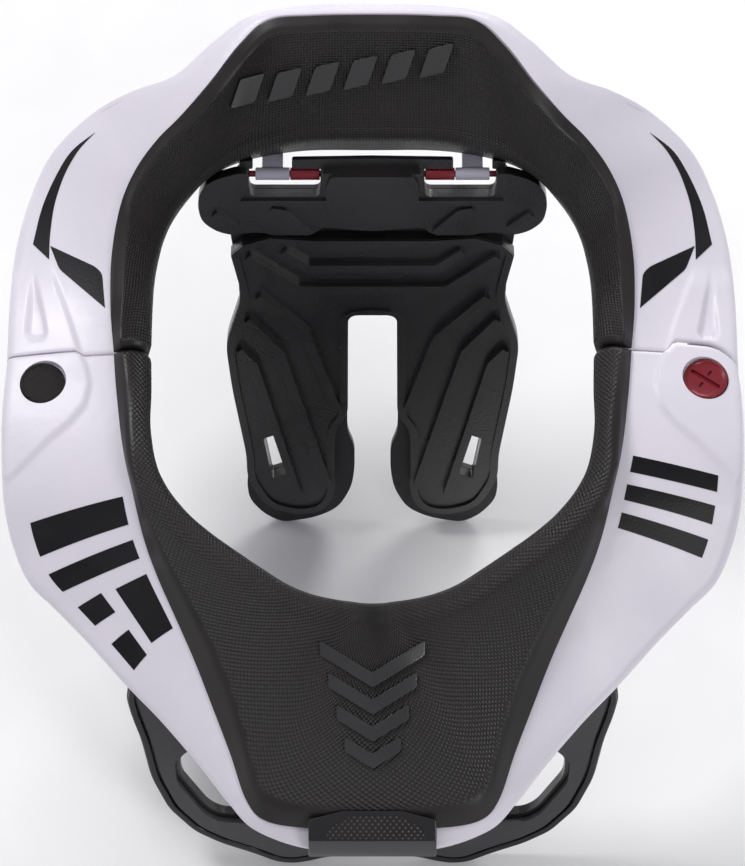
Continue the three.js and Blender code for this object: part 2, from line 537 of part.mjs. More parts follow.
// Chest plate with two posts and the pad around and under it, in the plate's own plane:
// x across, y up the plate from its datum, z away from the wearer.
const chestLean = THREE.MathUtils.degToRad(CHEST_LEAN);
const chestDepth = CHEST_PLATE_THICKNESS + CLEARANCE + CHEST_PAD_THICKNESS;
const chestLength = (REST_DEPTH + CHEST_DATUM_Z - chestDepth * Math.cos(chestLean)) / Math.sin(chestLean);
const onChest = (outline) => outline.map(([x, d]) => [share(x, CHEST_HALF_WIDTH), -share(d, chestLength)]);
const chestOutline = mirrored(onChest(CHEST_OUTLINE));
const inset = (outline, amount) => outline.map(([x, y], k) => {
  const [ax, ay] = outline[(k + outline.length - 1) % outline.length];
  const [bx, by] = outline[(k + 1) % outline.length];
  const length = Math.hypot(bx - ax, by - ay);
  const turn = Math.sign(THREE.ShapeUtils.area(outline.map(([u, v]) => new THREE.Vector2(u, v))));
  return [x - (turn * amount * (by - ay)) / length, y + (turn * amount * (bx - ax)) / length];
});
const chestWindows = [onChest(CHEST_WINDOW), flipped(onChest(CHEST_WINDOW))];
const chestPad = cutAll(solid(prism(chestOutline, -chestDepth, -CHEST_PLATE_THICKNESS - CLEARANCE)),
  chestWindows.map((outline) => solid(prism(outline, -CUT_REACH, CUT_REACH))));
const chestPlane = new THREE.Matrix4().makeRotationX(chestLean).setPosition(0, CHEST_DATUM_Y, CHEST_DATUM_Z);
const frontUnderside = solid(slab(offset(frontGrid, frontNormals, CUT_REACH),
  offset(frontGrid, frontNormals, -SHELL_WALL - CLEARANCE)));
const postY = CHEST_DATUM_Y + POST_SETBACK;
const postHeight = share(-25, FRONT_DROP);
const postFoot = CHEST_DATUM_Z - 3 * POST_RADIUS;
const behindPlate = solid(box(-HALF_WIDTH, HALF_WIDTH, -HALF_WIDTH, HALF_WIDTH, -HALF_WIDTH,
  -CHEST_PLATE_THICKNESS / 2).applyMatrix4(chestPlane));
let chestPlate = solid(prism(inset(chestOutline, CHEST_PAD_BORDER), -CHEST_PLATE_THICKNESS, 0));
chestPlate = cutAll(chestPlate,
  chestWindows.map((outline) => solid(prism(inset(outline, -CHEST_WINDOW_STEP), -CUT_REACH, CUT_REACH))));
chestPlate = solid(geometryOf(chestPlate).applyMatrix4(chestPlane));
for (const side of [-1, 1]) {
  const post = solid(upright(POST_RADIUS, postHeight - postFoot, side * POST_SPAN, postY, postFoot, 20));
  chestPlate = chestPlate.add(cutAll(post, [frontUnderside, behindPlate]));
}

// Nose cap: laid on the slope of the shell in front of the pad and turned down over its edge.
const centre = section(LAST_ROW);
const [crestEnd, foot] = [centre[6], centre[FOOT_INDEX]];
const [brow, chin] = [centre[centre.length - 3], centre[centre.length - 1]];
const edgeY = Math.min(brow.y, chin.y);
const slope = foot.clone().sub(crestEnd).normalize();
const lift = V(0, -slope.z, slope.y).multiplyScalar(slope.y < 0 ? -1 : 1);
const noseStart = foot.clone().addScaledVector(slope, -NOSE_OVER_PAD).addScaledVector(lift, NOSE_LIFT);
const noseProfile = [
  noseStart,
  noseStart.clone().add(V(0, 0, NOSE_THICKNESS / lift.z)),
  noseStart.clone().addScaledVector(lift, NOSE_THICKNESS).addScaledVector(slope, NOSE_OVER_PAD + NOSE_FLAT),
  V(0, edgeY - NOSE_OVERHANG, brow.z + NOSE_BROW),
  V(0, edgeY - NOSE_OVERHANG, chin.z + NOSE_CHIN),
  V(0, edgeY - NOSE_OVERHANG + NOSE_CHAMFER, chin.z + NOSE_UNDER),
  V(0, edgeY - NOSE_BEHIND, chin.z + NOSE_UNDER),
  V(0, edgeY - NOSE_BEHIND, brow.z),
  foot.clone().addScaledVector(lift, NOSE_SEAT).add(V(0, -NOSE_SEAT, 0)),
];
const noseAcross = new THREE.ExtrudeGeometry(
  new THREE.Shape(noseProfile.map((p) => new THREE.Vector2(p.y, p.z))),
  { depth: 2 * NOSE_HALF_WIDTH, bevelEnabled: false },
).applyMatrix4(new THREE.Matrix4().makeBasis(V(0, 1, 0), V(0, 0, 1), V(1, 0, 0)))
  .translate(-NOSE_HALF_WIDTH, 0, 0);
const nosePlan = (grow) => mirrored([
  [0, noseStart.y + grow], [share(47, NOSE_HALF_WIDTH) + grow, noseStart.y + grow],
  [NOSE_HALF_WIDTH + grow, foot.y + grow], [NOSE_HALF_WIDTH + grow, edgeY - 20], [0, edgeY - 20]]);
const noseCap = solid(noseAcross).intersect(solid(prism(nosePlan(0), -HALF_WIDTH, HALF_WIDTH)));
frontPad = frontPad.subtract(solid(prism(nosePlan(2 * CLEARANCE), -HALF_WIDTH, HALF_WIDTH)));

// Assembly
const paint = (hex, roughness, metalness = 0) =>
  new THREE.MeshStandardMaterial({ color: hex, roughness, metalness });
const white = paint(0xe3dfea, 0.25);
const black = paint(0x2b2929, 0.6);
const satin = paint(0x2e2b30, 0.35);
const red = paint(0x9a1528, 0.25);
const grey = paint(0xb4afc4, 0.35);
function piece(name, geometry, material, place = [0, 0, 0], tilt = 0) {
  const mesh = new THREE.Mesh(geometry, material);
  mesh.name = name;
  mesh.position.set(...place);
  mesh.rotation.x = tilt;
  return mesh;
}
const hingePlace = [0, hingeY, hingeZ];
const chestPlace = [0, CHEST_DATUM_Y, CHEST_DATUM_Z];
const brace = new THREE.Group();
brace.add(
  piece('rear_shell', geometryOf(rearShell), white),
  piece('front_shell', geometryOf(frontShell), white),
  piece('rear_pad', geometryOf(rearPad), black),
  piece('front_pad', geometryOf(frontPad), black),
  piece('latch_cap', geometryOf(latchCap), satin),
  piece('gate_pin', geometryOf(gatePin), red),
  piece('hinge_arm_left', hingeArms[0], grey),
  piece('hinge_arm_right', hingeArms[1], grey),
  piece('hinge_pin_left', hingePins[0], red, hingePlace, lean),
  piece('hinge_pin_right', hingePins[1], red, hingePlace, lean),
  piece('strut_frame', geometryOf(strutFrame), satin, hingePlace, lean),
  piece('bridge_pad', geometryOf(bridgePad), black, hingePlace, lean),
  piece('back_pad', geometryOf(backPad), black, hingePlace, lean),
  piece('chest_plate', geometryOf(chestPlate), satin),
  piece('chest_pad', geometryOf(chestPad), black, chestPlace, chestLean),
  piece('nose_cap', geometryOf(noseCap), satin),
);
const bounds = new THREE.Box3().setFromObject(brace, true);
brace.position.set(-(bounds.min.x + bounds.max.x) / 2, -(bounds.min.y + bounds.max.y) / 2, -bounds.min.z);
const stand = new THREE.Group();
stand.add(brace);
export default stand;
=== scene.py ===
# %% [markdown]
# # A motocross neck brace, dressed for the camera
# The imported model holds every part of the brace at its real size, as plain faceted solids. This
# file keeps their places and gives each part a fine surface and a finish. Everything is in
# metres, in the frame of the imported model: x across, y to the back of the neck, z up.

# %% Load the fixed frame
import json
import math

import bmesh
import bpy
import numpy as np
from mathutils import Matrix, Vector
from mathutils.bvhtree import BVHTree


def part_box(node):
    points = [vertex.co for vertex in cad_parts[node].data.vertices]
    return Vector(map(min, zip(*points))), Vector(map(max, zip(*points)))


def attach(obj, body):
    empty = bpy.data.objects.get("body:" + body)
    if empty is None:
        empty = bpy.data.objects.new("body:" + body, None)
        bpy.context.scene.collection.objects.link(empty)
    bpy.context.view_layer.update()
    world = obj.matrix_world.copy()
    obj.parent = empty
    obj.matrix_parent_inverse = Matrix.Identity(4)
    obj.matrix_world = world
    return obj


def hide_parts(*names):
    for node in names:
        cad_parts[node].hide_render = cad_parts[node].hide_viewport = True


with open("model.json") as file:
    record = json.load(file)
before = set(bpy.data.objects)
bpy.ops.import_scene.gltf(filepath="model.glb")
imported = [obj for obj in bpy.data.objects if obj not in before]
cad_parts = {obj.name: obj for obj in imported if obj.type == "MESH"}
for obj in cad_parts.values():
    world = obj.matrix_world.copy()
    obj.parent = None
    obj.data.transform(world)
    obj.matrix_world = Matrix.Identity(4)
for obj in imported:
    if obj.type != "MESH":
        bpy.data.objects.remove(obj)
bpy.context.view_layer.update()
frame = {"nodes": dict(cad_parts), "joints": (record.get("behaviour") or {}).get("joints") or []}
MM = 0.001

# %% [markdown]
# ## The camera
# The photograph looks down on the brace from the front with a long lens. The camera comes first,
# because some trim is placed by where it shows in the photograph: a ray from the camera finds
# the surface that carries it.

# %% Camera at the photograph's angle
PHOTO_SIZE = (745, 866)
ELEVATION = math.radians(62)
DISTANCE = 1.8
PIXEL = 0.4 * MM
TARGET = Vector((0, -3.28, 171.5)) * MM
look = Vector((0, math.cos(ELEVATION), -math.sin(ELEVATION)))
above = Vector((0, math.sin(ELEVATION), math.cos(ELEVATION)))
eye = TARGET - look * DISTANCE

camera = bpy.data.objects.new("camera", bpy.data.cameras.new("camera"))
bpy.context.scene.collection.objects.link(camera)
camera.location = eye
camera.rotation_euler = (math.radians(90) - ELEVATION, 0, 0)
camera.data.lens = camera.data.sensor_width / 2 * DISTANCE / (PHOTO_SIZE[1] / 2 * PIXEL)
bpy.context.scene.camera = camera
print("lens", round(camera.data.lens, 1), "mm")


# %% From a pixel to a ray, and from a point to its pixel
def ray_through(px, py):
    aside = Vector((px - PHOTO_SIZE[0] / 2, 0, 0)) * PIXEL
    aim = TARGET + aside + above * (PHOTO_SIZE[1] / 2 - py) * PIXEL
    return (aim - eye).normalized()


def pixel_of(points):
    rel = points - np.array(eye)
    scale = DISTANCE / (rel @ np.array(look)) / PIXEL
    return np.stack([PHOTO_SIZE[0] / 2 + rel[..., 0] * scale,
                     PHOTO_SIZE[1] / 2 - rel @ np.array(above) * scale], -1)


def folded(pixels):
    """The same pixels with the right half laid over the left, for trim that both sides have."""
    half = PHOTO_SIZE[0] / 2
    return np.stack([half - abs(pixels[..., 0] - half), pixels[..., 1]], -1)


print("the photograph's centre shows", pixel_of(np.array(TARGET)))

# %% [markdown]
# ## Finishes
# Each finish is a small node tree: a base colour that drifts a little, a roughness that drifts
# too, and a bump for the grain. Noise on object coordinates is the simplest way, because every
# piece keeps its place in its mesh, so the grain has one real scale all over the brace.

# %% A moulded plastic finish
def noise(nodes, links, where, scale, detail=3.0):
    texture = nodes.new("ShaderNodeTexNoise")
    texture.inputs["Scale"].default_value = scale
    texture.inputs["Detail"].default_value = detail
    links.new(where, texture.inputs["Vector"])
    return texture.outputs["Fac"]


def ranged(nodes, links, value, low, high, start=0.3, end=0.7):
    spread = nodes.new("ShaderNodeMapRange")
    spread.inputs["From Min"].default_value = start
    spread.inputs["From Max"].default_value = end
    spread.inputs["To Min"].default_value = low
    spread.inputs["To Max"].default_value = high
    links.new(value, spread.inputs["Value"])
    return spread.outputs["Result"]


def tinted(nodes, links, share, colour, other):
    mix = nodes.new("ShaderNodeMix")
    mix.data_type = "RGBA"
    mix.inputs["A"].default_value = (*colour, 1)
    mix.inputs["B"].default_value = (*other, 1)
    links.new(share, mix.inputs["Factor"])
    return mix.outputs["Result"]


def raised(nodes, links, height, distance, strength=1.0, under=None):
    bump = nodes.new("ShaderNodeBump")
    bump.inputs["Strength"].default_value = strength
    bump.inputs["Distance"].default_value = distance
    links.new(height, bump.inputs["Height"])
    if under:
        links.new(under, bump.inputs["Normal"])
    return bump.outputs["Normal"]


def fresh_material(name):
    material = bpy.data.materials.new(name)
    material.use_nodes = True
    nodes, links = material.node_tree.nodes, material.node_tree.links
    where = nodes.new("ShaderNodeTexCoord").outputs["Object"]
    return material, nodes, links, nodes["Principled BSDF"], where


def moulded(name, colour, other, rough, grain, depth, coat=0.0, drift=30, shine=0.5):
    material, nodes, links, shader, where = fresh_material(name)
    cloud = noise(nodes, links, where, drift)
    shade = tinted(nodes, links, ranged(nodes, links, cloud, 0, 1), colour, other)
    links.new(shade, shader.inputs["Base Color"])
    links.new(ranged(nodes, links, cloud, *rough), shader.inputs["Roughness"])
    links.new(raised(nodes, links, noise(nodes, links, where, grain), depth), shader.inputs["Normal"])
    shader.inputs["Specular IOR Level"].default_value = shine
    shader.inputs["Coat Weight"].default_value = coat
    shader.inputs["Coat Roughness"].default_value = 0.08
    return material


white_gloss = moulded("white_gloss", (0.76, 0.72, 0.80), (0.71, 0.68, 0.76), (0.38, 0.48), 240, 0.16 * MM,
                      coat=0.08)
grey_satin = moulded("grey_satin", (0.44, 0.42, 0.50), (0.38, 0.36, 0.44), (0.30, 0.38), 900, 0.04 * MM,
                     coat=0.2)
black_satin = moulded("black_satin", (0.010, 0.009, 0.010), (0.018, 0.015, 0.017), (0.32, 0.44), 2400,
                      0.10 * MM)
black_gloss = moulded("black_gloss", (0.008, 0.007, 0.009), (0.014, 0.012, 0.015), (0.20, 0.28), 900,
                      0.06 * MM)
red_gloss = moulded("red_gloss", (0.15, 0.003, 0.010), (0.20, 0.005, 0.015), (0.24, 0.32), 700, 0.04 * MM,
                    coat=0.1)
vinyl = moulded("vinyl", (0.006, 0.006, 0.007), (0.014, 0.013, 0.015), (0.36, 0.48), 1100, 0.12 * MM,
                shine=0.2)
smooth_foam = moulded("smooth_foam", (0.008, 0.007, 0.008), (0.014, 0.012, 0.013), (0.24, 0.34), 1300,
                      0.12 * MM, shine=0.9)
plate_satin = moulded("plate_satin", (0.040, 0.039, 0.042), (0.055, 0.053, 0.057), (0.36, 0.46), 2000,
                      0.14 * MM)
print("finishes:", len(bpy.data.materials))


# %% [markdown]
# ## Knurled foam
# The moulded pads are covered with fine dots, about a millimetre apart. Real dots would need
# millions of faces, so two sine waves in the piece's own UV map, which is in metres along the
# surface, make the bump. An attribute on the mesh says where the dots fade out, as on the
# bevels and rolled edges.

# %% Foam with rows of dots
FOAM_BLACK, FOAM_GREY = (0.012, 0.010, 0.010), (0.018, 0.015, 0.015)


def sine(nodes, links, value, factor):
    turn = nodes.new("ShaderNodeMath")
    turn.operation = "MULTIPLY"
    turn.inputs[1].default_value = factor
    links.new(value, turn.inputs[0])
    wave = nodes.new("ShaderNodeMath")
    wave.operation = "SINE"
    links.new(turn.outputs[0], wave.inputs[0])
    return wave.outputs[0]


def joined(nodes, links, operation, a, b):
    step = nodes.new("ShaderNodeMath")
    step.operation = operation
    links.new(a, step.inputs[0])
    links.new(b, step.inputs[1])
    return step.outputs[0]


def knurled(name, pitch, diamonds, depth, rough=(0.38, 0.50), on_uv=True, dot_top_highlight=0.045, shine=0.4):
    material, nodes, links, shader, where = fresh_material(name)
    split = nodes.new("ShaderNodeSeparateXYZ")
    if on_uv:
        flat = nodes.new("ShaderNodeUVMap")
        flat.uv_map = "along"
        links.new(flat.outputs["UV"], split.inputs[0])
    else:
        links.new(where, split.inputs[0])
    u, v = split.outputs["X"], split.outputs["Y"]
    if diamonds:
        u, v = joined(nodes, links, "ADD", u, v), joined(nodes, links, "SUBTRACT", u, v)
    turn = 2 * math.pi / pitch
    dots = joined(nodes, links, "MULTIPLY", sine(nodes, links, u, turn), sine(nodes, links, v, turn))
    if on_uv:
        shown = nodes.new("ShaderNodeAttribute")
        shown.attribute_name = "dots"
        dots = joined(nodes, links, "MULTIPLY", dots, shown.outputs["Fac"])
    cloud = noise(nodes, links, where, 45)
    valleys = tinted(nodes, links, ranged(nodes, links, cloud, 0, 1), FOAM_BLACK, FOAM_GREY)
    # The dot tops are painted lighter than the valleys: a painted highlight on each dot, mixed in by the
    # dots' height.
    tops = nodes.new("ShaderNodeMix")
    tops.data_type = "RGBA"
    links.new(ranged(nodes, links, dots, 0, 1, 0.1, 0.9), tops.inputs["Factor"])
    links.new(valleys, tops.inputs["A"])
    tops.inputs["B"].default_value = (dot_top_highlight, dot_top_highlight * 0.9, dot_top_highlight * 0.9, 1)
    links.new(tops.outputs["Result"], shader.inputs["Base Color"])
    links.new(ranged(nodes, links, cloud, *rough), shader.inputs["Roughness"])
    shader.inputs["Specular IOR Level"].default_value = shine
    grain = raised(nodes, links, noise(nodes, links, where, 1400), 0.06 * MM)
    links.new(raised(nodes, links, dots, depth, 1.0, under=grain), shader.inputs["Normal"])
    return material


diamond_foam = knurled("diamond_foam", 2.5 * MM, True, 0.45 * MM)
square_foam = knurled("square_foam", 2.1 * MM, False, 0.35 * MM)
cap_grid = knurled("cap_grid", 1.7 * MM, False, 0.12 * MM, rough=(0.40, 0.50), on_uv=False, dot_top_highlight=0.016,
                   shine=0.15)
nose_dots = knurled("nose_dots", 2.4 * MM, False, 0.1 * MM, rough=(0.26, 0.34), on_uv=False, dot_top_highlight=0.02)
print("finishes with the knurled ones:", len(bpy.data.materials))


# %% [markdown]
# ## Turning a bmesh into a piece
# Every shape is made in a bmesh and handed over the same way: a mesh whose object sits at the
# origin, smooth except where two faces meet sharply, riding on the body it belongs to.

# %% Hand a bmesh over as a piece
def piece(bm, name, body, material, stands_for=(), sharp=35, flat_faces=False):
    mesh = bpy.data.meshes.new(name)
    bm.to_mesh(mesh)
    bm.free()
    mesh.materials.append(material)
    mesh.shade_smooth()
    mesh.set_sharp_from_angle(angle=math.radians(sharp))
    obj = bpy.data.objects.new(name, mesh)
    bpy.context.scene.collection.objects.link(obj)
    if flat_faces:
        even = obj.modifiers.new("even", "WEIGHTED_NORMAL")
        even.keep_sharp = True
    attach(obj, body)
    if stands_for:
        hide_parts(*stands_for)
    print(name, len(mesh.polygons), "faces")
    return obj


# %% [markdown]
# ## The ring's shape
# Both shells and both pads follow one form: a closed ring whose cross-section turns from a wall
# around the neck, over a crest, down to a broad outer band and a short outer wall. It could be
# sculpted, but then shell and pad would drift apart. So five rails run along the ring, and each
# row of the table holds where they pass, as shares of a few sizes, the same ones that shape the
# solids. `SET_DOWN` moves the table's own origin to its place over the floor.

# %% Sizes of the ring, in millimetres
HALF_WIDTH, REAR_REACH, FRONT_REACH = 150, 160, 150
REAR_RISE, FRONT_DROP = 80, 80
SHELL_WALL, PAD_THICKNESS, PAD_LIP, PAD_FOOT, CLEARANCE = 2.6, 6, 1.6, 0.9, 0.3
CREST_ROUND, SHOULDER_ROUND = 4.5, 5
SEAM_ROW, SEAM_BLEND, SEAM_GAP, SEAM_STEP, SEAM_RUN = 11, 1.6, 0.8, 1.8, 4
PIN_INSET, PIN_BEHIND, CAP_INSET = 15, 11, 16.5
KNUCKLE_RADIUS, KNUCKLE_GAP = 14.9, 1
SET_DOWN = np.array((-0.0005, -3.279, 171.5))
RING = """
0 79 15 0 79.5 33.5 0 93.8 95 0 98.8 91 0 89.4 20
16.7 79 15 16.7 79.2 33.5 16 93.5 95 18 98.4 91 18 88.8 20
28.7 77.8 14.4 29 77.3 32 27.7 92.5 93.8 33.3 96 88.8 33.3 86.5 18.8
38.7 75.6 12.5 39.3 75 27.5 35.7 87 87.5 43.3 91.3 80 44 83 16.3
46.3 71.9 8.8 47.3 71.5 21.3 43.3 79.4 77.5 54 86.6 62.5 54.7 80 11.3
51.3 67.5 3.8 53 67.2 15 51 74.4 62.5 66.5 88.6 41 67.3 81.9 5
55.7 63.1 -3.8 57.3 63 7.5 58 71.3 47.5 78 89 18 77.7 81.9 -3.8
59 58.4 -11.3 60.3 58.1 1.3 64 66.9 32.5 88.6 83.6 0 88.3 78.1 -15
60.7 53.1 -18.8 62 53.1 -3.8 68.3 60.6 17.5 94.3 74.4 -11.3 94.7 71.3 -25
62 46.9 -25 63 46.9 -6.3 70.7 50 5 98 60.6 -16.3 98.3 58.1 -31.3
63 40 -28.8 63.3 39.4 -7.5 71 37.8 -3.8 99.3 43.8 -17.5 99.7 43.1 -36.3
63.3 26.3 -31.3 63.3 26.3 -7.5 70 26.3 -8.8 99.3 26.3 -17.8 100 26.3 -38.8
63 15 -31.3 63 15 -8.1 69 15.3 -9.4 100 16.3 -18.8 100.3 16.3 -40
63 4.4 -31.3 63 4.4 -8.8 67.7 5.6 -11.3 100.3 6.3 -21.8 100.5 6.8 -43.8
61.7 -6.7 -32.5 61.3 -6.3 -11.3 66 -3.3 -15 100 -4 -27.5 100 -2.7 -48.8
58 -14.7 -35 57.7 -14.3 -14.4 64 -11.3 -20 99.3 -12.3 -35 99.3 -9.3 -55
52.3 -21.8 -38.8 52 -21.2 -18 62.3 -18.7 -26.3 97.3 -20.7 -47.5 97 -16.4 -65
46 -27.2 -41.3 45.7 -26.6 -20.6 60 -25.7 -33.8 93 -29.3 -57.5 92.7 -25.3 -73.8
39 -32.3 -43 38.7 -31.6 -22.5 56.7 -33.3 -41.3 85.7 -36 -63.8 85.3 -32 -80
31.7 -37 -45 31.3 -36.6 -24.4 52.3 -42 -50 77.3 -44 -68.8 77 -40.4 -83.8
24.3 -41.6 -46.3 24 -41.3 -25.6 47.3 -52.3 -58.8 66.7 -55.3 -75 66.3 -52.1 -88.8
17.7 -44.5 -46.9 17.3 -44.2 -26 42.7 -63.3 -66.3 56.7 -65.3 -80 56.3 -62.5 -92.5
10.7 -46.1 -47.5 10.7 -45.8 -26.3 37.7 -75.7 -73.8 46.7 -76.7 -85 46.3 -74.1 -96.3
6 -46.8 -47.5 6 -46.5 -26.3 33.3 -87.7 -81.3 38.7 -86.7 -88.8 38.3 -84.5 -98.8
3.3 -47.1 -47.5 3.3 -46.9 -26.3 28 -93 -83.8 31.3 -94 -91.3 31 -92.2 -100
1.3 -47.2 -47.5 1.3 -47 -26.3 16 -94.7 -85 16.7 -98.7 -93.8 16.7 -97.2 -101.3
0 -47.2 -47.5 0 -47 -26.3 0 -94.7 -85 0 -98.7 -93.8 0 -97.2 -101.3
"""

# %% Rails in millimetres, mirrored past both ends
shares = np.array(RING.split(), float).reshape(-1, 5, 3) / 100
RAILS = shares * np.stack([np.full(shares.shape[:2], HALF_WIDTH),
                           np.where(shares[..., 1] < 0, FRONT_REACH, REAR_REACH),
                           np.where(shares[..., 2] < 0, FRONT_DROP, REAR_RISE)], -1)
LAST_ROW = len(RAILS) - 1
FLIP = np.array((-1, 1, 1))
RAILS = np.concatenate([RAILS[1:2] * FLIP, RAILS, RAILS[-2:-1] * FLIP])
print("rows of the ring:", LAST_ROW + 1)


def rails_at(t):
    i = np.clip(np.floor(t).astype(int), 0, LAST_ROW - 1)
    f = (t - i)[:, None, None]
    a, b, c, d = (RAILS[i + k] for k in range(4))
    return 0.5 * (2 * b + (c - a) * f + (2 * a - 5 * b + 4 * c - d) * f**2 + (3 * b - a - 3 * c + d) * f**3)


# %% [markdown]
# ## One cross-section
# A section is straight stretches with two rounded corners. Equal steps all the way round would
# do, but the columns of the later grids are spread so that the crest, the shoulder and the band
# beside it, where light breaks, get the most.

# %% Columns of a section
LIP_COLUMNS, CORNER_COLUMNS, SLOPE_COLUMNS, BAND_COLUMNS, WALL_COLUMNS = 6, 8, 28, 54, 6
CREST = LIP_COLUMNS + CORNER_COLUMNS
FOOT = CREST + SLOPE_COLUMNS
BAND_CROWN = 0.8


def rounded_corner(before, at, after, radius):
    inward, outward = before - at, after - at
    long_in, long_out = (np.linalg.norm(w, axis=-1, keepdims=True) for w in (inward, outward))
    reach = np.minimum(radius, 0.45 * np.minimum(long_in, long_out))
    a, b = at + inward / long_in * reach, at + outward / long_out * reach
    f = np.linspace(0, 1, CORNER_COLUMNS, endpoint=False)[None, :, None]
    return a, b, (1 - f) ** 2 * a[:, None] + 2 * f * (1 - f) * at[:, None] + f**2 * b[:, None]


def stretch(a, b, count, crown=0.0):
    f = np.linspace(0, 1, count, endpoint=False)[None, :, None]
    return a[:, None] + (b - a)[:, None] * f + np.array((0, 0, crown)) * 4 * f * (1 - f)


def across(t):
    lip, crest, foot, shoulder, rim = np.moveaxis(rails_at(t), 1, 0)
    a, b, over_crest = rounded_corner(lip, crest, foot, CREST_ROUND)
    c, d, over_shoulder = rounded_corner(foot, shoulder, rim, SHOULDER_ROUND)
    return np.concatenate([
        stretch(lip, a, LIP_COLUMNS), over_crest,
        stretch(b, foot, SLOPE_COLUMNS), stretch(foot, c, BAND_COLUMNS, BAND_CROWN),
        over_shoulder, stretch(d, rim, WALL_COLUMNS), rim[:, None]], 1)


print("columns of a section:", across(np.array([0.0])).shape[1])


# %% [markdown]
# ## The seam between the halves
# The front half swings about the red pin, so the seam runs round the pin as an arc on the right
# and steps beside the black cap on the left. A boolean would leave ragged faces along the cut.
# Instead, the rows near the seam slide along the ring to meet that line, which keeps the grid
# even.

# %% Where the seam lies
PIN_X, CAP_X = HALF_WIDTH - PIN_INSET, CAP_INSET - HALF_WIDTH
SEAM_Y = RAILS[SEAM_ROW + 1, 0, 1]
PIN_Y = SEAM_Y - PIN_BEHIND


def eased(x, start, end):
    f = np.clip((x - start) / (end - start), 0, 1)
    return f * f * (3 - 2 * f)


def seam_line(x, radius):
    left = SEAM_Y - SEAM_STEP * eased(x, CAP_X + CAP_INSET - SEAM_RUN, CAP_X + CAP_INSET)
    dx = x - PIN_X
    before = SEAM_Y + np.clip((dx + radius) / SEAM_RUN, 0, 1) * (PIN_Y + radius - SEAM_Y)
    beyond = PIN_Y + np.sqrt(np.maximum(radius**2 - dx**2, 1))
    return np.where(x < 0, left, np.where(dx < 0, before, beyond))


def half_ring(t, side, seam_side):
    here = across(t)
    ahead = across(t + 0.02) - here
    end = across(np.array([float(SEAM_ROW)]))[0]
    radius = KNUCKLE_RADIUS + (KNUCKLE_GAP if seam_side > 0 else 0)
    goal = seam_line(side * end[:, 0], radius) + seam_side * SEAM_GAP / 2
    pull = np.clip(1 - abs(t - SEAM_ROW) / SEAM_BLEND, 0, 1) ** 2
    here = here + ahead * ((goal - end[:, 1])[None] * pull[:, None] / ahead[..., 1])[..., None]
    return here * (side, 1, 1)


print("the pin lies", PIN_BEHIND, "mm in front of the seam, at x", PIN_X)


# %% Evenly spaced rows, closer at the seam
def even_rows(start, end, spacing):
    fine = np.linspace(start, end, 3000)
    foot = rails_at(fine)[:, 2]
    far = np.concatenate([[0], np.cumsum(np.linalg.norm(np.diff(foot, axis=0), axis=1))])
    near_seam = np.array((0, 0.25, 0.6, 1.1, 1.8, 2.6))
    wanted = np.concatenate([near_seam, np.linspace(3.5, far[-1], int(far[-1] / spacing))])
    return np.interp(wanted, far, fine), wanted


def ring_grid(seam_side, spacing):
    """Points of a shell half in metres, each row's distance from the seam, and its place in the ring."""
    t, far = even_rows(SEAM_ROW, 0 if seam_side > 0 else LAST_ROW, spacing)
    left, right = (half_ring(t, side, seam_side) for side in (-1, 1))
    points = np.concatenate([left, right[-2::-1]])
    from_seam = np.concatenate([far, far[-2::-1]])
    rows = np.concatenate([t, t[-2::-1]])
    return (points + SET_DOWN) * MM, from_seam, rows


def outward_normals(points):
    n = np.cross(np.gradient(points, axis=0), np.gradient(points, axis=1))
    n /= np.linalg.norm(n, axis=-1, keepdims=True)
    return n * np.sign(n[len(n) // 2, FOOT - 2, 2])


# %% [markdown]
# ## From rows of points to a closed skin
# `create_grid` makes the faces, and each of its vertices moves to its row and column. The
# columns run over the outside and back along the inside, so welding the grid's two long
# edges makes a tube, and the two open ends at the seam are filled.

# %% Closed skin from an outside and an inside
def closed_skin(outside, inside, uv_across=None, uv_along=None, dots=None):
    loop = np.concatenate([outside, inside[:, ::-1], outside[:, :1]], 1)
    rows, columns = loop.shape[:2]
    bm = bmesh.new()
    flat, shown = bm.loops.layers.uv.new("along"), bm.verts.layers.float.new("dots")
    bmesh.ops.create_grid(bm, x_segments=columns - 1, y_segments=rows - 1, size=1)
    place = {v: (round((v.co.y + 1) / 2 * (rows - 1)), round((v.co.x + 1) / 2 * (columns - 1)))
             for v in bm.verts}
    if dots is not None:
        for corner in (corner for face in bm.faces for corner in face.loops):
            i, j = place[corner.vert]
            corner[flat].uv = (uv_across[i, min(j, outside.shape[1] - 1)], uv_along[i])
        for v, (i, j) in place.items():
            v[shown] = dots[i, j] if j < outside.shape[1] else 0
    for v, (i, j) in place.items():
        v.co = loop[i, j]
    bmesh.ops.remove_doubles(bm, verts=bm.verts, dist=1e-7)
    ends = bmesh.ops.holes_fill(bm, edges=[e for e in bm.edges if e.is_boundary], sides=0)["faces"]
    bmesh.ops.triangulate(bm, faces=ends)
    bmesh.ops.recalc_face_normals(bm, faces=bm.faces)
    return bm


def way_across(points):
    steps = np.linalg.norm(np.diff(points, axis=1), axis=-1)
    return np.concatenate([np.zeros((len(points), 1)), np.cumsum(steps, axis=1)], 1)


rear_points, rear_from_seam, rear_rows = ring_grid(1, 1.1)
front_points, front_from_seam, front_rows = ring_grid(-1, 1.3)
rear_normals, front_normals = outward_normals(rear_points), outward_normals(front_points)
print("rear grid", rear_points.shape, "front grid", front_points.shape)


# %% [markdown]
# ## The shells
# The shells are glossy injection mouldings. Round each hinge the band rises to a plateau behind
# a soft crease, and the rear shell has a narrow flute beside it. Both are pushed into the grid
# by how far a point lies inside an outline drawn in the photograph's pixels.

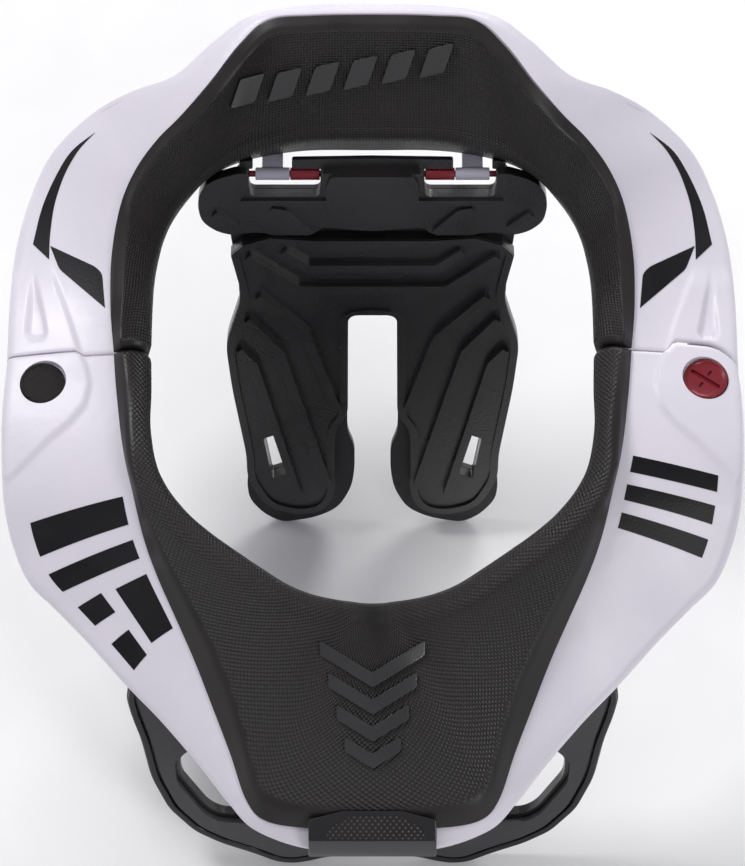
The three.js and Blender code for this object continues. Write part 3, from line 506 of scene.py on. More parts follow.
# %% How deep a pixel lies inside an outline, and the forms on the shells
def depth_inside(pixels, outline):
    a = np.array(outline, float)
    edge = np.roll(a, -1, 0) - a
    rel = pixels[..., None, :] - a
    f = np.clip((rel * edge).sum(-1) / (edge**2).sum(-1), 0, 1)
    far = np.linalg.norm(rel - f[..., None] * edge, axis=-1).min(-1)
    b = a + edge
    px, py = pixels[..., None, 0], pixels[..., None, 1]
    passes = (a[:, 1] > py) != (b[:, 1] > py)
    rise = np.where(edge[:, 1] == 0, 1e-9, edge[:, 1])
    meets = a[:, 0] + (py - a[:, 1]) / rise * edge[:, 0]
    odd = (passes & (px < meets)).sum(-1) % 2 == 1
    return np.where(odd, far, -far)


PLATEAU = [(50, 262), (58, 285), (70, 318), (80, 350), (87, 366), (91, 385), (86, 405), (70, 424),
           (50, 440), (10, 480), (-60, 480), (-60, 262)]
PLATEAU_RISE, FLUTE_DEPTH, EDGE_ROLL = 1.2, 2.3, 0.5
FLUTE = [(32, 262), (36, 266), (49, 334), (44, 341), (30, 341), (25, 334)]


def shaped_shell(points, normals, from_seam):
    pixels = folded(pixel_of(points))
    rise = PLATEAU_RISE * eased(depth_inside(pixels, PLATEAU), -1.5, 3) * eased(pixels[..., 1], 262, 290)
    sink = FLUTE_DEPTH * eased(depth_inside(pixels, FLUTE), 0, 4.5) * eased(pixels[..., 1], 262, 325)
    on_band = np.arange(points.shape[1]) > FOOT + 2
    rise = rise * eased(normals[..., 2], 0.35, 0.8)
    roll = EDGE_ROLL * np.clip(1 - from_seam / 1.1, 0, 1) ** 2
    return points + normals * (((rise - sink) * on_band - roll[:, None]) * MM)[..., None]


# %% Rear and front shells
def shell(outside, normals):
    inside = (outside - normals * SHELL_WALL * MM)[:, ::3]
    return closed_skin(outside, inside)


rear_shape = shaped_shell(rear_points, rear_normals, rear_from_seam)
front_shape = shaped_shell(front_points, front_normals, front_from_seam)
rear_skin = piece(shell(rear_shape, rear_normals), "rear_shell_skin", "rear", white_gloss,
                  ["rear_shell"], sharp=50)
front_skin = piece(shell(front_shape, front_normals), "front_shell_skin", "front", white_gloss,
                   ["front_shell"], sharp=50)


# %% [markdown]
# ## Round recesses for the pin and the cap
# Each disc sits in a shallow round well. Pushing grid points down would leave a jagged rim, so a
# boolean with a drum cuts it cleanly through the grid, and a boss under the shell closes it. The
# same drum, wider, clears the rear shell where the knuckle swings. Each cutter is deleted once
# its cut is in the mesh.

# %% Drums, cuts and bosses
def drum(x, y, low, high, radius, segments=96, round_off=0.0):
    bm = bmesh.new()
    bmesh.ops.create_cone(bm, cap_ends=True, segments=segments, radius1=radius, radius2=radius,
                          depth=high - low, matrix=Matrix.Translation((x, y, (low + high) / 2)))
    if round_off:
        rims = [e for e in bm.edges if abs(e.verts[0].co.z - e.verts[1].co.z) < 1e-9]
        bmesh.ops.bevel(bm, geom=rims, offset=round_off, segments=4, profile=0.5, affect="EDGES",
                        material=-1)
    return bm


def cut_with(obj, *tools):
    cutters = []
    for tool in tools:
        mesh = bpy.data.meshes.new("cutter")
        tool.to_mesh(mesh)
        tool.free()
        cutter = bpy.data.objects.new("cutter", mesh)
        bpy.context.scene.collection.objects.link(cutter)
        cut = obj.modifiers.new("cut", "BOOLEAN")
        cut.operation, cut.solver, cut.object = "DIFFERENCE", "EXACT", cutter
        cutters.append(cutter)
    bpy.context.view_layer.update()
    done = bpy.data.meshes.new_from_object(obj.evaluated_get(bpy.context.evaluated_depsgraph_get()))
    obj.modifiers.clear()
    obj.data = done
    for cutter in cutters:
        bpy.data.objects.remove(cutter)


def merged(first, *others):
    for other in others:
        spare = bpy.data.meshes.new("spare")
        other.to_mesh(spare)
        other.free()
        first.from_mesh(spare)
        bpy.data.meshes.remove(spare)
    return first


pin_low, pin_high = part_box("gate_pin")
cap_low, cap_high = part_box("latch_cap")
pin_at = ((pin_low.x + pin_high.x) / 2, (pin_low.y + pin_high.y) / 2)
cap_at = ((cap_low.x + cap_high.x) / 2, (cap_low.y + cap_high.y) / 2)
DISC_RADIUS, DISC_HEIGHT, WELL_MARGIN, BOSS_MARGIN = 9 * MM, 3.2 * MM, 0.5 * MM, 1.6 * MM
floor_z = pin_high.z - DISC_HEIGHT - CLEARANCE * MM
wells = [drum(*at, floor_z, floor_z + 20 * MM, DISC_RADIUS + WELL_MARGIN)
         for at in (pin_at, cap_at)]
cut_with(front_skin, *wells)
swing = drum(*pin_at, floor_z - 30 * MM, floor_z + 40 * MM, (KNUCKLE_RADIUS + KNUCKLE_GAP) * MM)
cut_with(rear_skin, swing)
for side, at in (("right", pin_at), ("left", cap_at)):
    boss = drum(*at, floor_z - SHELL_WALL * MM, floor_z, DISC_RADIUS + BOSS_MARGIN, round_off=0.3 * MM)
    piece(boss, f"{side}_boss", "front", white_gloss)

# %% [markdown]
# ## Tongues under the front shell
# Two plain tongues of the rear shell reach under the bosses. The right one holds the pin that
# the front half swings on. They hardly show, so each is a bevelled bar with a block that joins it
# to the shell above; a ray up to the shell says how high the block has to reach.

# %% Tongue and block on each side
TONGUE_HALF_WIDTH, TONGUE_THICKNESS = 6.2 * MM, 3 * MM
BLOCK_FRONT, TONGUE_BACK = 47 * MM, 58.8 * MM
tongue_top = floor_z - (SHELL_WALL + CLEARANCE) * MM
rear_tree = BVHTree.FromObject(rear_skin, bpy.context.evaluated_depsgraph_get())


def block(x0, x1, y0, y1, z0, z1, round_off):
    bm = bmesh.new()
    centre = Vector((x0 + x1, y0 + y1, z0 + z1)) / 2
    bmesh.ops.create_cube(bm, size=1, matrix=Matrix.Translation(centre)
                          @ Matrix.Diagonal((x1 - x0, y1 - y0, z1 - z0, 1)))
    bmesh.ops.bevel(bm, geom=bm.edges[:], offset=round_off, segments=3, profile=0.5, affect="EDGES",
                    material=-1)
    return bm


for side, at in (("right", pin_at), ("left", cap_at)):
    x0, x1 = at[0] - TONGUE_HALF_WIDTH, at[0] + TONGUE_HALF_WIDTH
    under = min(rear_tree.ray_cast(Vector((x, y, 0)), Vector((0, 0, 1)))[0].z
                for x in (x0, x1) for y in (BLOCK_FRONT, TONGUE_BACK))
    bar = block(x0, x1, at[1] - TONGUE_HALF_WIDTH, TONGUE_BACK, tongue_top - TONGUE_THICKNESS,
                tongue_top, 0.5 * MM)
    joint = block(x0, x1, BLOCK_FRONT, TONGUE_BACK, tongue_top - MM, under + 1.2 * MM, 0.4 * MM)
    piece(merged(bar, joint), f"tongue_{side}", "rear", white_gloss)

# %% [markdown]
# ## The latch cap and the gate pin
# Both are turned discs with a rounded edge and a slightly sunk face. Spinning a profile would
# make them too, but a cylinder with an inset face and bevelled rims is shorter. The pin is the
# one that turns, so it has a coin slot and two small marks across it, cut into the face.

# %% Two discs
SHANK_RADIUS = 4 * MM


def disc(at, top, rim, sunk):
    bm = drum(*at, top - DISC_HEIGHT, top, DISC_RADIUS)
    face = max(bm.faces, key=lambda f: f.calc_center_median().z)
    bmesh.ops.inset_region(bm, faces=[face], thickness=rim)
    bmesh.ops.inset_region(bm, faces=[face], thickness=0.25 * MM)
    bmesh.ops.translate(bm, verts=face.verts, vec=(0, 0, -sunk))
    rims = [e for e in bm.edges if e.calc_face_angle(0) > math.radians(25)]
    bmesh.ops.bevel(bm, geom=rims, offset=0.3 * MM, segments=3, profile=0.5, affect="EDGES", material=-1)
    return bm


def shank(at, top, bottom):
    return drum(*at, bottom, top, SHANK_RADIUS, segments=48)


def slot_tool(at, top, length, width, depth, angle):
    bm = bmesh.new()
    bmesh.ops.create_cube(bm, size=1, matrix=Matrix.Translation((*at, top))
                          @ Matrix.Rotation(angle, 4, "Z") @ Matrix.Diagonal((length, width, 2 * depth, 1)))
    ends = [e for e in bm.edges if abs(e.verts[0].co.z - e.verts[1].co.z) > 1e-6]
    bmesh.ops.bevel(bm, geom=ends, offset=width * 0.45, segments=4, profile=0.5, affect="EDGES", material=-1)
    return bm


cap_face = disc(cap_at, cap_high.z, 0.7 * MM, 0.25 * MM)
piece(merged(cap_face, shank(cap_at, cap_high.z - MM, cap_low.z)), "latch_cap_disc", "front",
      cap_grid, ["latch_cap"])
PIN_SUNK, SLOT_ANGLE = 0.5 * MM, math.radians(-35)
pin_face = disc(pin_at, pin_high.z, 1.2 * MM, PIN_SUNK)
gate_pin = piece(merged(pin_face, shank(pin_at, pin_high.z - 1.5 * MM, pin_low.z)), "gate_pin_disc", "pin",
                 red_gloss, ["gate_pin"])
pin_top = pin_high.z - PIN_SUNK
coin_slot = slot_tool(pin_at, pin_top, 14 * MM, 1.9 * MM, 1.3 * MM, SLOT_ANGLE)
marks = [slot_tool((pin_at[0] + s * 1.8 * MM, pin_at[1] + s * 2.6 * MM), pin_top, 2.6 * MM, 1.1 * MM,
                   0.8 * MM, SLOT_ANGLE + math.radians(90)) for s in (-1, 1)]
cut_with(gate_pin, coin_slot, *marks)

# %% [markdown]
# ## The two collar pads
# A pad is a thick skin of moulded foam on the shell, rolled over the neck edge and bevelled at
# its outer foot. Its thickness along the section is the whole shape: it grows from the lip to
# the crest, stays full and then falls along the bevel, which is much wider at the front. Cloth
# under pressure would round the bevel off, and this foam is moulded, so no cloth is used.

# %% Thickness of a pad
def pad_skin(points, normals, from_seam, rows, bevel_from, bevel_to):
    start = 1
    base, n = points[:, start:FOOT + 1], normals[:, start:FOOT + 1]
    column = np.arange(start, FOOT + 1)
    from_foot = way_across(base[:, ::-1])[:, ::-1] / MM
    bevel = np.interp(rows, [SEAM_ROW, 14, 21, LAST_ROW],
                      [bevel_from, bevel_from * 1.2, bevel_to, bevel_to * 0.6])[:, None]
    rise = eased(column, -2, CREST - 3)[None]
    fall = np.clip(from_foot / bevel, 0, 1)
    fall = fall - 0.10 * np.exp(-(((fall - 1) * bevel) ** 2) / 2)
    full = PAD_LIP + (PAD_THICKNESS - PAD_LIP) * rise
    thick = np.where(column[None] < CREST, full, PAD_FOOT + (PAD_THICKNESS - PAD_FOOT) * fall)
    ends = np.sqrt(1 - (1 - np.clip(from_seam / 4, 0, 1)) ** 2)[:, None]
    thick = np.maximum(thick * (0.25 + 0.75 * ends), 0.6)
    outside = base + n * ((CLEARANCE + thick) * MM)[..., None]
    inside = (base + n * CLEARANCE * MM)[:, ::4]
    dots = eased(column, 3, 6)[None] * eased(from_foot, bevel + 0.2, bevel + 1.4)
    dots = dots * eased(from_seam, 2, 3.4)[:, None]
    middle = (CREST + FOOT) // 2
    way, run = way_across(outside), way_across(outside[None, :, middle])[0]
    return closed_skin(outside, inside, way - way[:, middle, None], run - run[-1] / 2, dots)


rear_pad = piece(pad_skin(rear_points, rear_normals, rear_from_seam, rear_rows, 3.4, 3.4),
                 "rear_collar_pad", "rear", diamond_foam, ["rear_pad"], sharp=60)
front_pad = piece(pad_skin(front_points, front_normals, front_from_seam, front_rows, 4.6, 13),
                  "front_collar_pad", "front", square_foam, ["front_pad"], sharp=60)


# %% [markdown]
# ## Trim placed from the photograph
# Stickers and raised shapes follow the surface they lie on. A picture on the shell would blur at
# its edges, so each is a thin sheet. Its outline is filled and cut into small triangles while it
# is flat in the photograph, every point goes along its ray to the surface, and the sheet is then
# thickened outwards.

# %% Outlines with rounded corners
def softened_outline(outline, reach, steps=4, keep=()):
    points = [Vector(p) for p in outline]
    soft = []
    for k, at in enumerate(points):
        before, after = points[k - 1] - at, points[(k + 1) % len(points)] - at
        step = min(0.6 if k in keep else reach, 0.45 * before.length, 0.45 * after.length)
        a, b = at + before.normalized() * step, at + after.normalized() * step
        for f in np.linspace(0, 1, steps + 1):
            soft.append(tuple((1 - f) ** 2 * a + 2 * f * (1 - f) * at + f * f * b))
    return soft


def mirrored_outline(outline):
    return [(PHOTO_SIZE[0] - x, y) for x, y in outline]


print("a rounded corner has", len(softened_outline([(0, 0), (9, 0), (0, 9)], 1)) // 3, "points")


# %% Sheet on a surface
VINYL_THICKNESS, LIFT = 0.14 * MM, 0.03 * MM


def on_surface(outlines, target, thickness, finest=5.0, reach=2.0, keep=(), edge=0.0):
    tree = BVHTree.FromObject(target, bpy.context.evaluated_depsgraph_get())
    bm = bmesh.new()
    for outline in outlines:
        bm.faces.new([bm.verts.new((x, y, 0)) for x, y in softened_outline(outline, reach, keep=keep)])
    bmesh.ops.triangulate(bm, faces=bm.faces[:])
    for _ in range(7):
        long_edges = [e for e in bm.edges if e.calc_length() > finest]
        if not long_edges:
            break
        bmesh.ops.subdivide_edges(bm, edges=long_edges, cuts=1)
        bmesh.ops.triangulate(bm, faces=bm.faces[:])
    lifts = {}
    for v in bm.verts:
        hit, normal, _, _ = tree.ray_cast(eye, ray_through(v.co.x, v.co.y))
        if hit is None:
            raise ValueError(f"no surface under pixel {v.co.x:.0f}, {v.co.y:.0f}")
        if normal.dot(look) > 0:
            normal = -normal
        v.co = hit + normal * LIFT
        lifts[tuple(v.co)] = normal * thickness
    grown = bmesh.ops.extrude_face_region(bm, geom=bm.faces[:], use_keep_orig=True)["geom"]
    tops = [g for g in grown if isinstance(g, bmesh.types.BMFace)]
    for v in (g for g in grown if isinstance(g, bmesh.types.BMVert)):
        v.co += lifts[tuple(v.co)]
    bmesh.ops.recalc_face_normals(bm, faces=bm.faces)
    if edge:
        top = set(tops)
        rims = [e for e in bm.edges if sum(f in top for f in e.link_faces) == 1]
        bmesh.ops.bevel(bm, geom=rims, offset=edge, segments=3, profile=0.5, affect="EDGES",
                        clamp_overlap=True, material=-1)
    return bm


# %% [markdown]
# ## Wedge stripes on the rear shell
# Two curved black wedges run down each side of the rear shell. They are cut vinyl, a seventh of
# a millimetre thick. One side is drawn and the other is its mirror image, so both match.

# %% High and low wedges
STRIPE_HIGH = [(95.3, 132.6), (70.4, 150.6), (53.9, 179.6), (41.4, 208.6), (33.1, 244.5), (49.2, 259.7),
               (49.7, 237.6), (53.9, 204.4), (64.9, 172.7), (78.7, 149.2)]
STRIPE_LOW = [(50.3, 245.9), (95.3, 266.6), (102.2, 273.5), (105, 308), (59.4, 269.3)]
for name, outline, reach, keep in (("high", STRIPE_HIGH, 30, (0, 4, 5)),
                                   ("low", STRIPE_LOW, 4, (0, 3))):
    both = [outline, mirrored_outline(outline)]
    piece(on_surface(both, rear_skin, VINYL_THICKNESS, reach=reach, keep=keep), f"stripes_{name}", "rear",
          vinyl)


# %% [markdown]
# ## Slanted bars on the front shell
# Each side of the front shell carries a row of black slanted bars, cut from thin vinyl. They
# lie along the band, so they are laid out by row and share of the band, and a small grid for
# each bar follows the shell exactly. A flat sticker forced over the bend would wrinkle.

# %% Bars along the band
def band_point(row, share, points, rows, side):
    """Point and normal on the shell by row of the ring and share of the band, on one side."""
    half = len(rows) // 2
    index = np.arange(half + 1) if side < 0 else np.arange(len(rows) - 1, half - 1, -1)
    sign = 1 if rows[index][0] < rows[index][-1] else -1
    along = np.interp(sign * row, sign * rows[index], index)
    column = FOOT + share * BAND_COLUMNS
    i, j = min(int(along), len(rows) - 2), int(column)
    a, b = along - i, column - j
    return tuple((1 - a) * ((1 - b) * grid[i, j] + b * grid[i, j + 1])
                 + a * ((1 - b) * grid[i + 1, j] + b * grid[i + 1, j + 1]) for grid in points)


def band_bar(side, start, end, inner, outer, slant):
    bm = bmesh.new()
    bmesh.ops.create_grid(bm, x_segments=26, y_segments=14, size=1)
    lifts = {}
    for v in bm.verts:
        u, w = (v.co.x + 1) / 2, (v.co.y + 1) / 2
        share = inner + (outer - inner) * u
        at, normal = band_point(start + (end - start) * w + slant * u, share,
                                (front_shape, front_normals), front_rows, side)
        v.co = Vector(at + normal * LIFT)
        lifts[tuple(v.co)] = Vector(normal * VINYL_THICKNESS)
    grown = bmesh.ops.extrude_face_region(bm, geom=bm.faces[:], use_keep_orig=True)["geom"]
    for v in (g for g in grown if isinstance(g, bmesh.types.BMVert)):
        v.co += lifts[tuple(v.co)]
    bmesh.ops.recalc_face_normals(bm, faces=bm.faces)
    return bm


LEFT_BARS = [(15.2, 16.1, 0.10, 0.90, 0.35), (16.6, 17.2, 0.10, 0.90, 0.35), (17.7, 19.2, 0.10, 0.45, 0.2),
             (17.9, 18.5, 0.60, 0.90, 0.2), (19.0, 19.6, 0.60, 0.90, 0.2)]
RIGHT_BARS = [(13.9, 14.4, 0.12, 0.88, 0.3), (14.8, 15.3, 0.12, 0.88, 0.3), (15.7, 16.2, 0.12, 0.88, 0.3)]
piece(merged(*[band_bar(-1, *bar) for bar in LEFT_BARS]), "front_bars_left", "front", vinyl)
piece(merged(*[band_bar(1, *bar) for bar in RIGHT_BARS]), "front_bars_right", "front", vinyl)

# %% [markdown]
# ## Raised shapes on the pads
# Smooth shapes stand a little proud of the knurled foam: slanted bars across the rear pad and
# nested arrows on the front pad. Raising the pad's own grid would blur their edges, so they are
# separate skins of the same foam with a soft grain and a bevelled rim.

# %% Raised bars and arrows
def slanted_bar(x, y, width, height, lean, rise):
    return [(x, y), (x + width, y - rise), (x + width + lean, y - rise - height), (x + lean, y - height)]


def nested_arrow(half_width, y, height=15, slope=0.62):
    x, tip = PHOTO_SIZE[0] / 2, half_width * slope
    return [(x - half_width, y), (x, y + tip), (x + half_width, y),
            (x + half_width, y + height), (x, y + height + tip), (x - half_width, y + height)]


def raised_shapes(outlines, pad, name, body):
    bm = on_surface(outlines, pad, 1.1 * MM, finest=3.5, reach=3, edge=0.5 * MM)
    return piece(bm, name, body, smooth_foam)


raised_shapes([slanted_bar(229 + 38 * k, 107 - 6 * k, 25, 29, 10, 6) for k in range(6)],
              rear_pad, "rear_pad_bars", "rear")
raised_shapes([nested_arrow(52 - 8 * k, 640 + 32 * k) for k in range(4)],
              front_pad, "front_pad_arrows", "front")


# %% [markdown]
# ## Flat parts with curved outlines
# The back strut, the pads on it and the chest plate are flat parts. Each outline is a list of
# shares of the part's own sizes, its corners are rounded, and `triangle_fill` fills it round
# its holes before it is extruded. The upper edges are then bevelled.

# %% A plate from an outline and holes
def plate(outline, holes, low, high, reach=9.0, edge=0.8, lower_edge=0.0, hole_reach=3.0,
          keep=(), hole_keep=()):
    bm = bmesh.new()
    edges = []
    for k, ring in enumerate([outline, *holes]):
        corner, kept = (hole_reach, hole_keep) if k else (reach, keep)
        soft = softened_outline(ring, corner, 5, kept)
        corners = [bm.verts.new((x, y, low)) for x, y in soft]
        edges += [bm.edges.new(pair) for pair in zip(corners, corners[1:] + corners[:1])]
    bmesh.ops.triangle_fill(bm, use_beauty=True, use_dissolve=False, edges=edges, normal=(0, 0, 1))
    grown = bmesh.ops.extrude_face_region(bm, geom=bm.faces[:], use_keep_orig=True)["geom"]
    tops = [g for g in grown if isinstance(g, bmesh.types.BMVert)]
    bmesh.ops.translate(bm, verts=tops, vec=(0, 0, high - low))
    bmesh.ops.recalc_face_normals(bm, faces=bm.faces)
    for z, width in ((high, edge), (low, lower_edge)):
        rims = [e for e in bm.edges if e.calc_face_angle(0) > 1
                and all(abs(v.co.z - z) < 1e-6 for v in e.verts)]
        if width:
            bmesh.ops.bevel(bm, geom=rims, offset=width, segments=3, profile=0.5, affect="EDGES",
                            clamp_overlap=True, material=-1)
    return bm


def both_halves(half):
    inner = [p for p in half if p[0] != 0]
    first = [half[0]] if half[0][0] == 0 else []
    last = [half[-1]] if half[-1][0] == 0 else []
    return first + inner + last + [(-x, y) for x, y in reversed(inner)]


def shared(outline, width, length):
    return [(x * width / 100, -d * length / 100) for x, d in outline]


def inset_outline(outline, amount):
    points = [Vector(p) for p in outline]
    area = sum(a.x * b.y - b.x * a.y for a, b in zip(points, points[1:] + points[:1]))
    turn = math.copysign(1, area)
    moved = []
    for k, at in enumerate(points):
        along = (points[(k + 1) % len(points)] - points[k - 1]).normalized()
        moved.append((at.x - turn * amount * along.y, at.y + turn * amount * along.x))
    return moved


def seated(bm, origin, tilt):
    """Millimetres in a part's own plane to metres in the brace's frame."""
    bm.transform(Matrix.Translation(origin) @ Matrix.Rotation(tilt, 4, "X") @ Matrix.Scale(MM, 4))
    return bm


# %% Planes of the strut and of the chest plate
HINGE = Vector(next(joint["pos_m"] for joint in frame["joints"] if joint["name"] == "strut_fold"))
STRUT_TILT, CHEST_TILT = math.radians(69), math.radians(65)
CHEST_HEIGHT = 86.5
CHEST = Vector((0, -81.779, CHEST_HEIGHT)) * MM
STRUT_HALF_WIDTH, STRUT_LENGTH = 62, 192.97
CHEST_HALF_WIDTH, CHEST_DEPTH = 101, 8.3
CHEST_LENGTH = (CHEST_HEIGHT - CHEST_DEPTH * math.cos(CHEST_TILT)) / math.sin(CHEST_TILT)
strut_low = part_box("strut_frame")[0]
print("strut reaches", round(strut_low.z / MM, 2), "mm over the floor")

FRAME_OUTLINE = [(0, 18), (30, 18), (60, 17.5), (86, 19.5), (93, 23), (89, 33.5), (98, 47.5), (95, 60),
                 (86, 84), (88, 88), (86.5, 93), (76, 97.5), (63.5, 100), (40, 98.5), (24, 95.5),
                 (15, 89.5), (12.5, 84), (12.5, 77), (17.5, 72.5), (17.5, 37.5), (0, 37.5)]
BACK_PAD_OUTLINE = [(0, 15.6), (38, 15.6), (69, 14.9), (87, 16.9), (95, 19.7), (88, 30.7), (100, 44.6),
                    (96.5, 57.1), (87.5, 77.1), (87.5, 84), (74, 92.5), (52, 94.8), (34, 93.5),
                    (26, 88.5), (26.5, 77.1), (25.5, 69.1), (17, 65.1), (16.5, 36.3), (0, 36.3)]
STRAP_SLOT = [(75.5, 72.3), (66, 71.1), (59.5, 82.7), (70, 84.1)]
RIBS = [[(84, 19.7), (50, 28.4), (0, 28.4)], [(60, 18.2), (43.5, 22.6), (0, 22.6)],
        [(77.5, 30.7), (44.5, 41.9), (24, 63)], [(85, 37.2), (63, 46.2), (31, 85.2)],
        [(91, 45.7), (81, 49.7), (52, 88.2)]]


def on_strut(outline):
    return shared(outline, STRUT_HALF_WIDTH, STRUT_LENGTH)


slots = [on_strut(STRAP_SLOT), [(-x, y) for x, y in on_strut(STRAP_SLOT)]]


# %% [markdown]
# ## The back strut
# The strut is a hard satin frame that hangs from the rear shell's two arms and folds. Its upper
# end is a plate behind the bridge pad with two windows for the arms, and four short eyes there
# hold the barrels. Two overlapping plates are easier to read than one outline with every notch.

# %% Frame, backplate and eyes
WINDOW_INNER, WINDOW_OUTER, WINDOW_BELOW, EYE_LENGTH, EYE_RADIUS = 21.3, 50.6, 8, 4.6, 3.6
BACKPLATE_FOOT = 0.22 * STRUT_LENGTH


def eye_at(middle):
    bm = bmesh.new()
    turned = Matrix.Translation((middle, 0, 0)) @ Matrix.Rotation(math.pi / 2, 4, "Y")
    bmesh.ops.create_cone(bm, cap_ends=True, segments=48, radius1=EYE_RADIUS, radius2=EYE_RADIUS,
                          depth=EYE_LENGTH, matrix=turned)
    return bm


half_backplate = [(0, 0), (WINDOW_INNER, 0), (WINDOW_INNER, -WINDOW_BELOW), (WINDOW_OUTER, -WINDOW_BELOW),
                  (WINDOW_OUTER, 0), (WINDOW_OUTER + 2 * EYE_LENGTH, 0), (STRUT_HALF_WIDTH, -6),
                  (0.93 * STRUT_HALF_WIDTH, -BACKPLATE_FOOT), (0, -BACKPLATE_FOOT)]
eyes = [eye_at(side * x) for side in (-1, 1)
        for x in (WINDOW_INNER - EYE_LENGTH / 2, WINDOW_OUTER + EYE_LENGTH / 2)]
frame_bm = plate(both_halves(on_strut(FRAME_OUTLINE)), slots, -3.3, -0.3, edge=0.6, lower_edge=0.9,
                 hole_reach=1)
backplate = plate(both_halves(half_backplate), [], -3.2, -0.4, reach=3, edge=0.4, lower_edge=0.8)
merged(frame_bm, backplate, *eyes)
piece(seated(frame_bm, HINGE, STRUT_TILT), "strut_frame_plate", "strut", black_satin,
      ["strut_frame"], sharp=30, flat_faces=True)


# %% [markdown]
# ## Softening a solid that is already right
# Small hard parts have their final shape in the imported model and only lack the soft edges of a
# moulding. A copy of the solid is welded, its flat faces are joined and its sharp edges get a
# narrow bevel. The solid itself is never changed.

# %% Bevelled copy of a node
def softened(node, width, segments=3):
    bm = bmesh.new()
    bm.from_mesh(frame["nodes"][node].data)
    bmesh.ops.remove_doubles(bm, verts=bm.verts, dist=1e-6)
    bmesh.ops.dissolve_limit(bm, angle_limit=math.radians(1), verts=bm.verts, edges=bm.edges)
    sharp = [e for e in bm.edges if e.calc_face_angle(0) > math.radians(25)]
    bmesh.ops.bevel(bm, geom=sharp, offset=width, segments=segments, profile=0.5, affect="EDGES",
                    clamp_overlap=True, material=-1)
    bmesh.ops.recalc_face_normals(bm, faces=bm.faces)
    return bm


for side in ("left", "right"):
    piece(softened(f"hinge_arm_{side}", 0.35 * MM), f"arm_{side}", "rear", grey_satin,
          [f"hinge_arm_{side}"], sharp=30, flat_faces=True)
    piece(softened(f"hinge_pin_{side}", 0.25 * MM), f"barrel_{side}", "strut", red_gloss,
          [f"hinge_pin_{side}"], sharp=30)
nose = piece(softened("nose_cap", 1.3 * MM, 4), "nose_block", "front", black_gloss,
             ["nose_cap"], sharp=30, flat_faces=True)
NOSE_INLAY = [(350, 816), (400, 816), (424, 830), (424, 839), (327, 839), (327, 830)]
piece(on_surface([NOSE_INLAY], nose, 0.15 * MM, reach=4), "nose_inlay", "front", nose_dots)


# %% [markdown]
# ## The bridge pad
# The bridge is a thick foam block over the hinge. It has a lobe at each end, a gap in its upper
# edge where each hinge barrel shows, slanted ridges that run to the lobes, and a thin crown that
# stands up behind the barrels with a notch for each arm. The forms are laid over each other as
# separate bodies, which keeps every one of them plain; a boolean union would only cost faces.

# %% Bridge block with lobes, gaps and ridges
BRIDGE_HALF_WIDTH, BRIDGE_HEIGHT, BRIDGE_THICKNESS = 72, 32.5, 6
BRIDGE_OUTLINE = [(0, 80), (29, 74), (33, 83), (37, 86.5), (57, 87), (62, 82.5), (74, 82.5), (81, 86.5),
                  (90, 80), (98, 64), (100, 38), (98, 14), (90, -2), (77, -12), (70.3, -12),
                  (70.3, 24.6), (29.6, 24.6), (29.6, -12), (0, -12)]
CROWN_MIDDLE = [(0, 3.3), (33, 3.3), (33, 8), (0, 8.6)]
CROWN_END = [(49, 3.3), (55, 3.3), (54, 7), (49, 7.6)]
RIDGES = [[(36, 80), (50, 48), (58, 44)], [(91, 50), (78, 74)]]
bridge_bm = plate(both_halves(shared(BRIDGE_OUTLINE, BRIDGE_HALF_WIDTH, BRIDGE_HEIGHT)), [], -0.1,
                  BRIDGE_THICKNESS - 0.8, reach=3.5, edge=1.6)


def ribbed_bar(line, width, low, high):
    """A low bar of even width along a bent line, mitred at its bends."""
    points = [Vector(p) for p in line]
    ways = [(b - a).normalized() for a, b in zip(points, points[1:])]
    sides = []
    for k, at in enumerate(points):
        back, ahead = ways[max(k - 1, 0)], ways[min(k, len(ways) - 1)]
        way = (back + ahead).normalized()
        out = Vector((-way.y, way.x)) * width / 2 / max(way.dot(ahead), 0.5)
        sides.append((at + out, at - out))
    outline = [tuple(a) for a, _ in sides] + [tuple(b) for _, b in reversed(sides)]
    return plate(outline, [], low, high, reach=1.0, edge=min(0.7, (high - low) * 0.3))


for side in (-1, 1):
    for ridge in RIDGES:
        line = [(side * x, y) for x, y in shared(ridge, BRIDGE_HALF_WIDTH, BRIDGE_HEIGHT)]
        merged(bridge_bm, ribbed_bar(line, 3.6, BRIDGE_THICKNESS - 2.5, BRIDGE_THICKNESS + 1.1))
    frame_line = [(side * x, y) for x, y in ((18, -10.4), (54, -10.4))]
    merged(bridge_bm, ribbed_bar(frame_line, 2.6, BRIDGE_THICKNESS - 2.5, BRIDGE_THICKNESS + 0.6))
middle = [(-17, 3.4), (17, 3.4), (19, -2), (19, -9), (16, -20), (-16, -20), (-19, -9), (-19, -2)]
merged(bridge_bm, plate(middle, [], 2, BRIDGE_THICKNESS + 0.9, reach=2, edge=1.4))
merged(bridge_bm, plate(both_halves(CROWN_MIDDLE), [], -1.2, 1.2, reach=1.2, edge=0.6, lower_edge=0.4))
for side in (-1, 1):
    merged(bridge_bm, plate([(side * x, y) for x, y in CROWN_END], [], -1.2, 1.2, reach=1.0, edge=0.5))
piece(seated(bridge_bm, HINGE, STRUT_TILT), "bridge_block", "strut", smooth_foam, ["bridge_pad"],
      sharp=30, flat_faces=True)

# %% [markdown]
# ## The back pad
# The foam on the strut has a raised border and raised ribs that bend like arrows. The border is a
# narrow plate of its own along the outline, and each rib is a low bar, mitred at its bends, that
# sits in the foam below it.

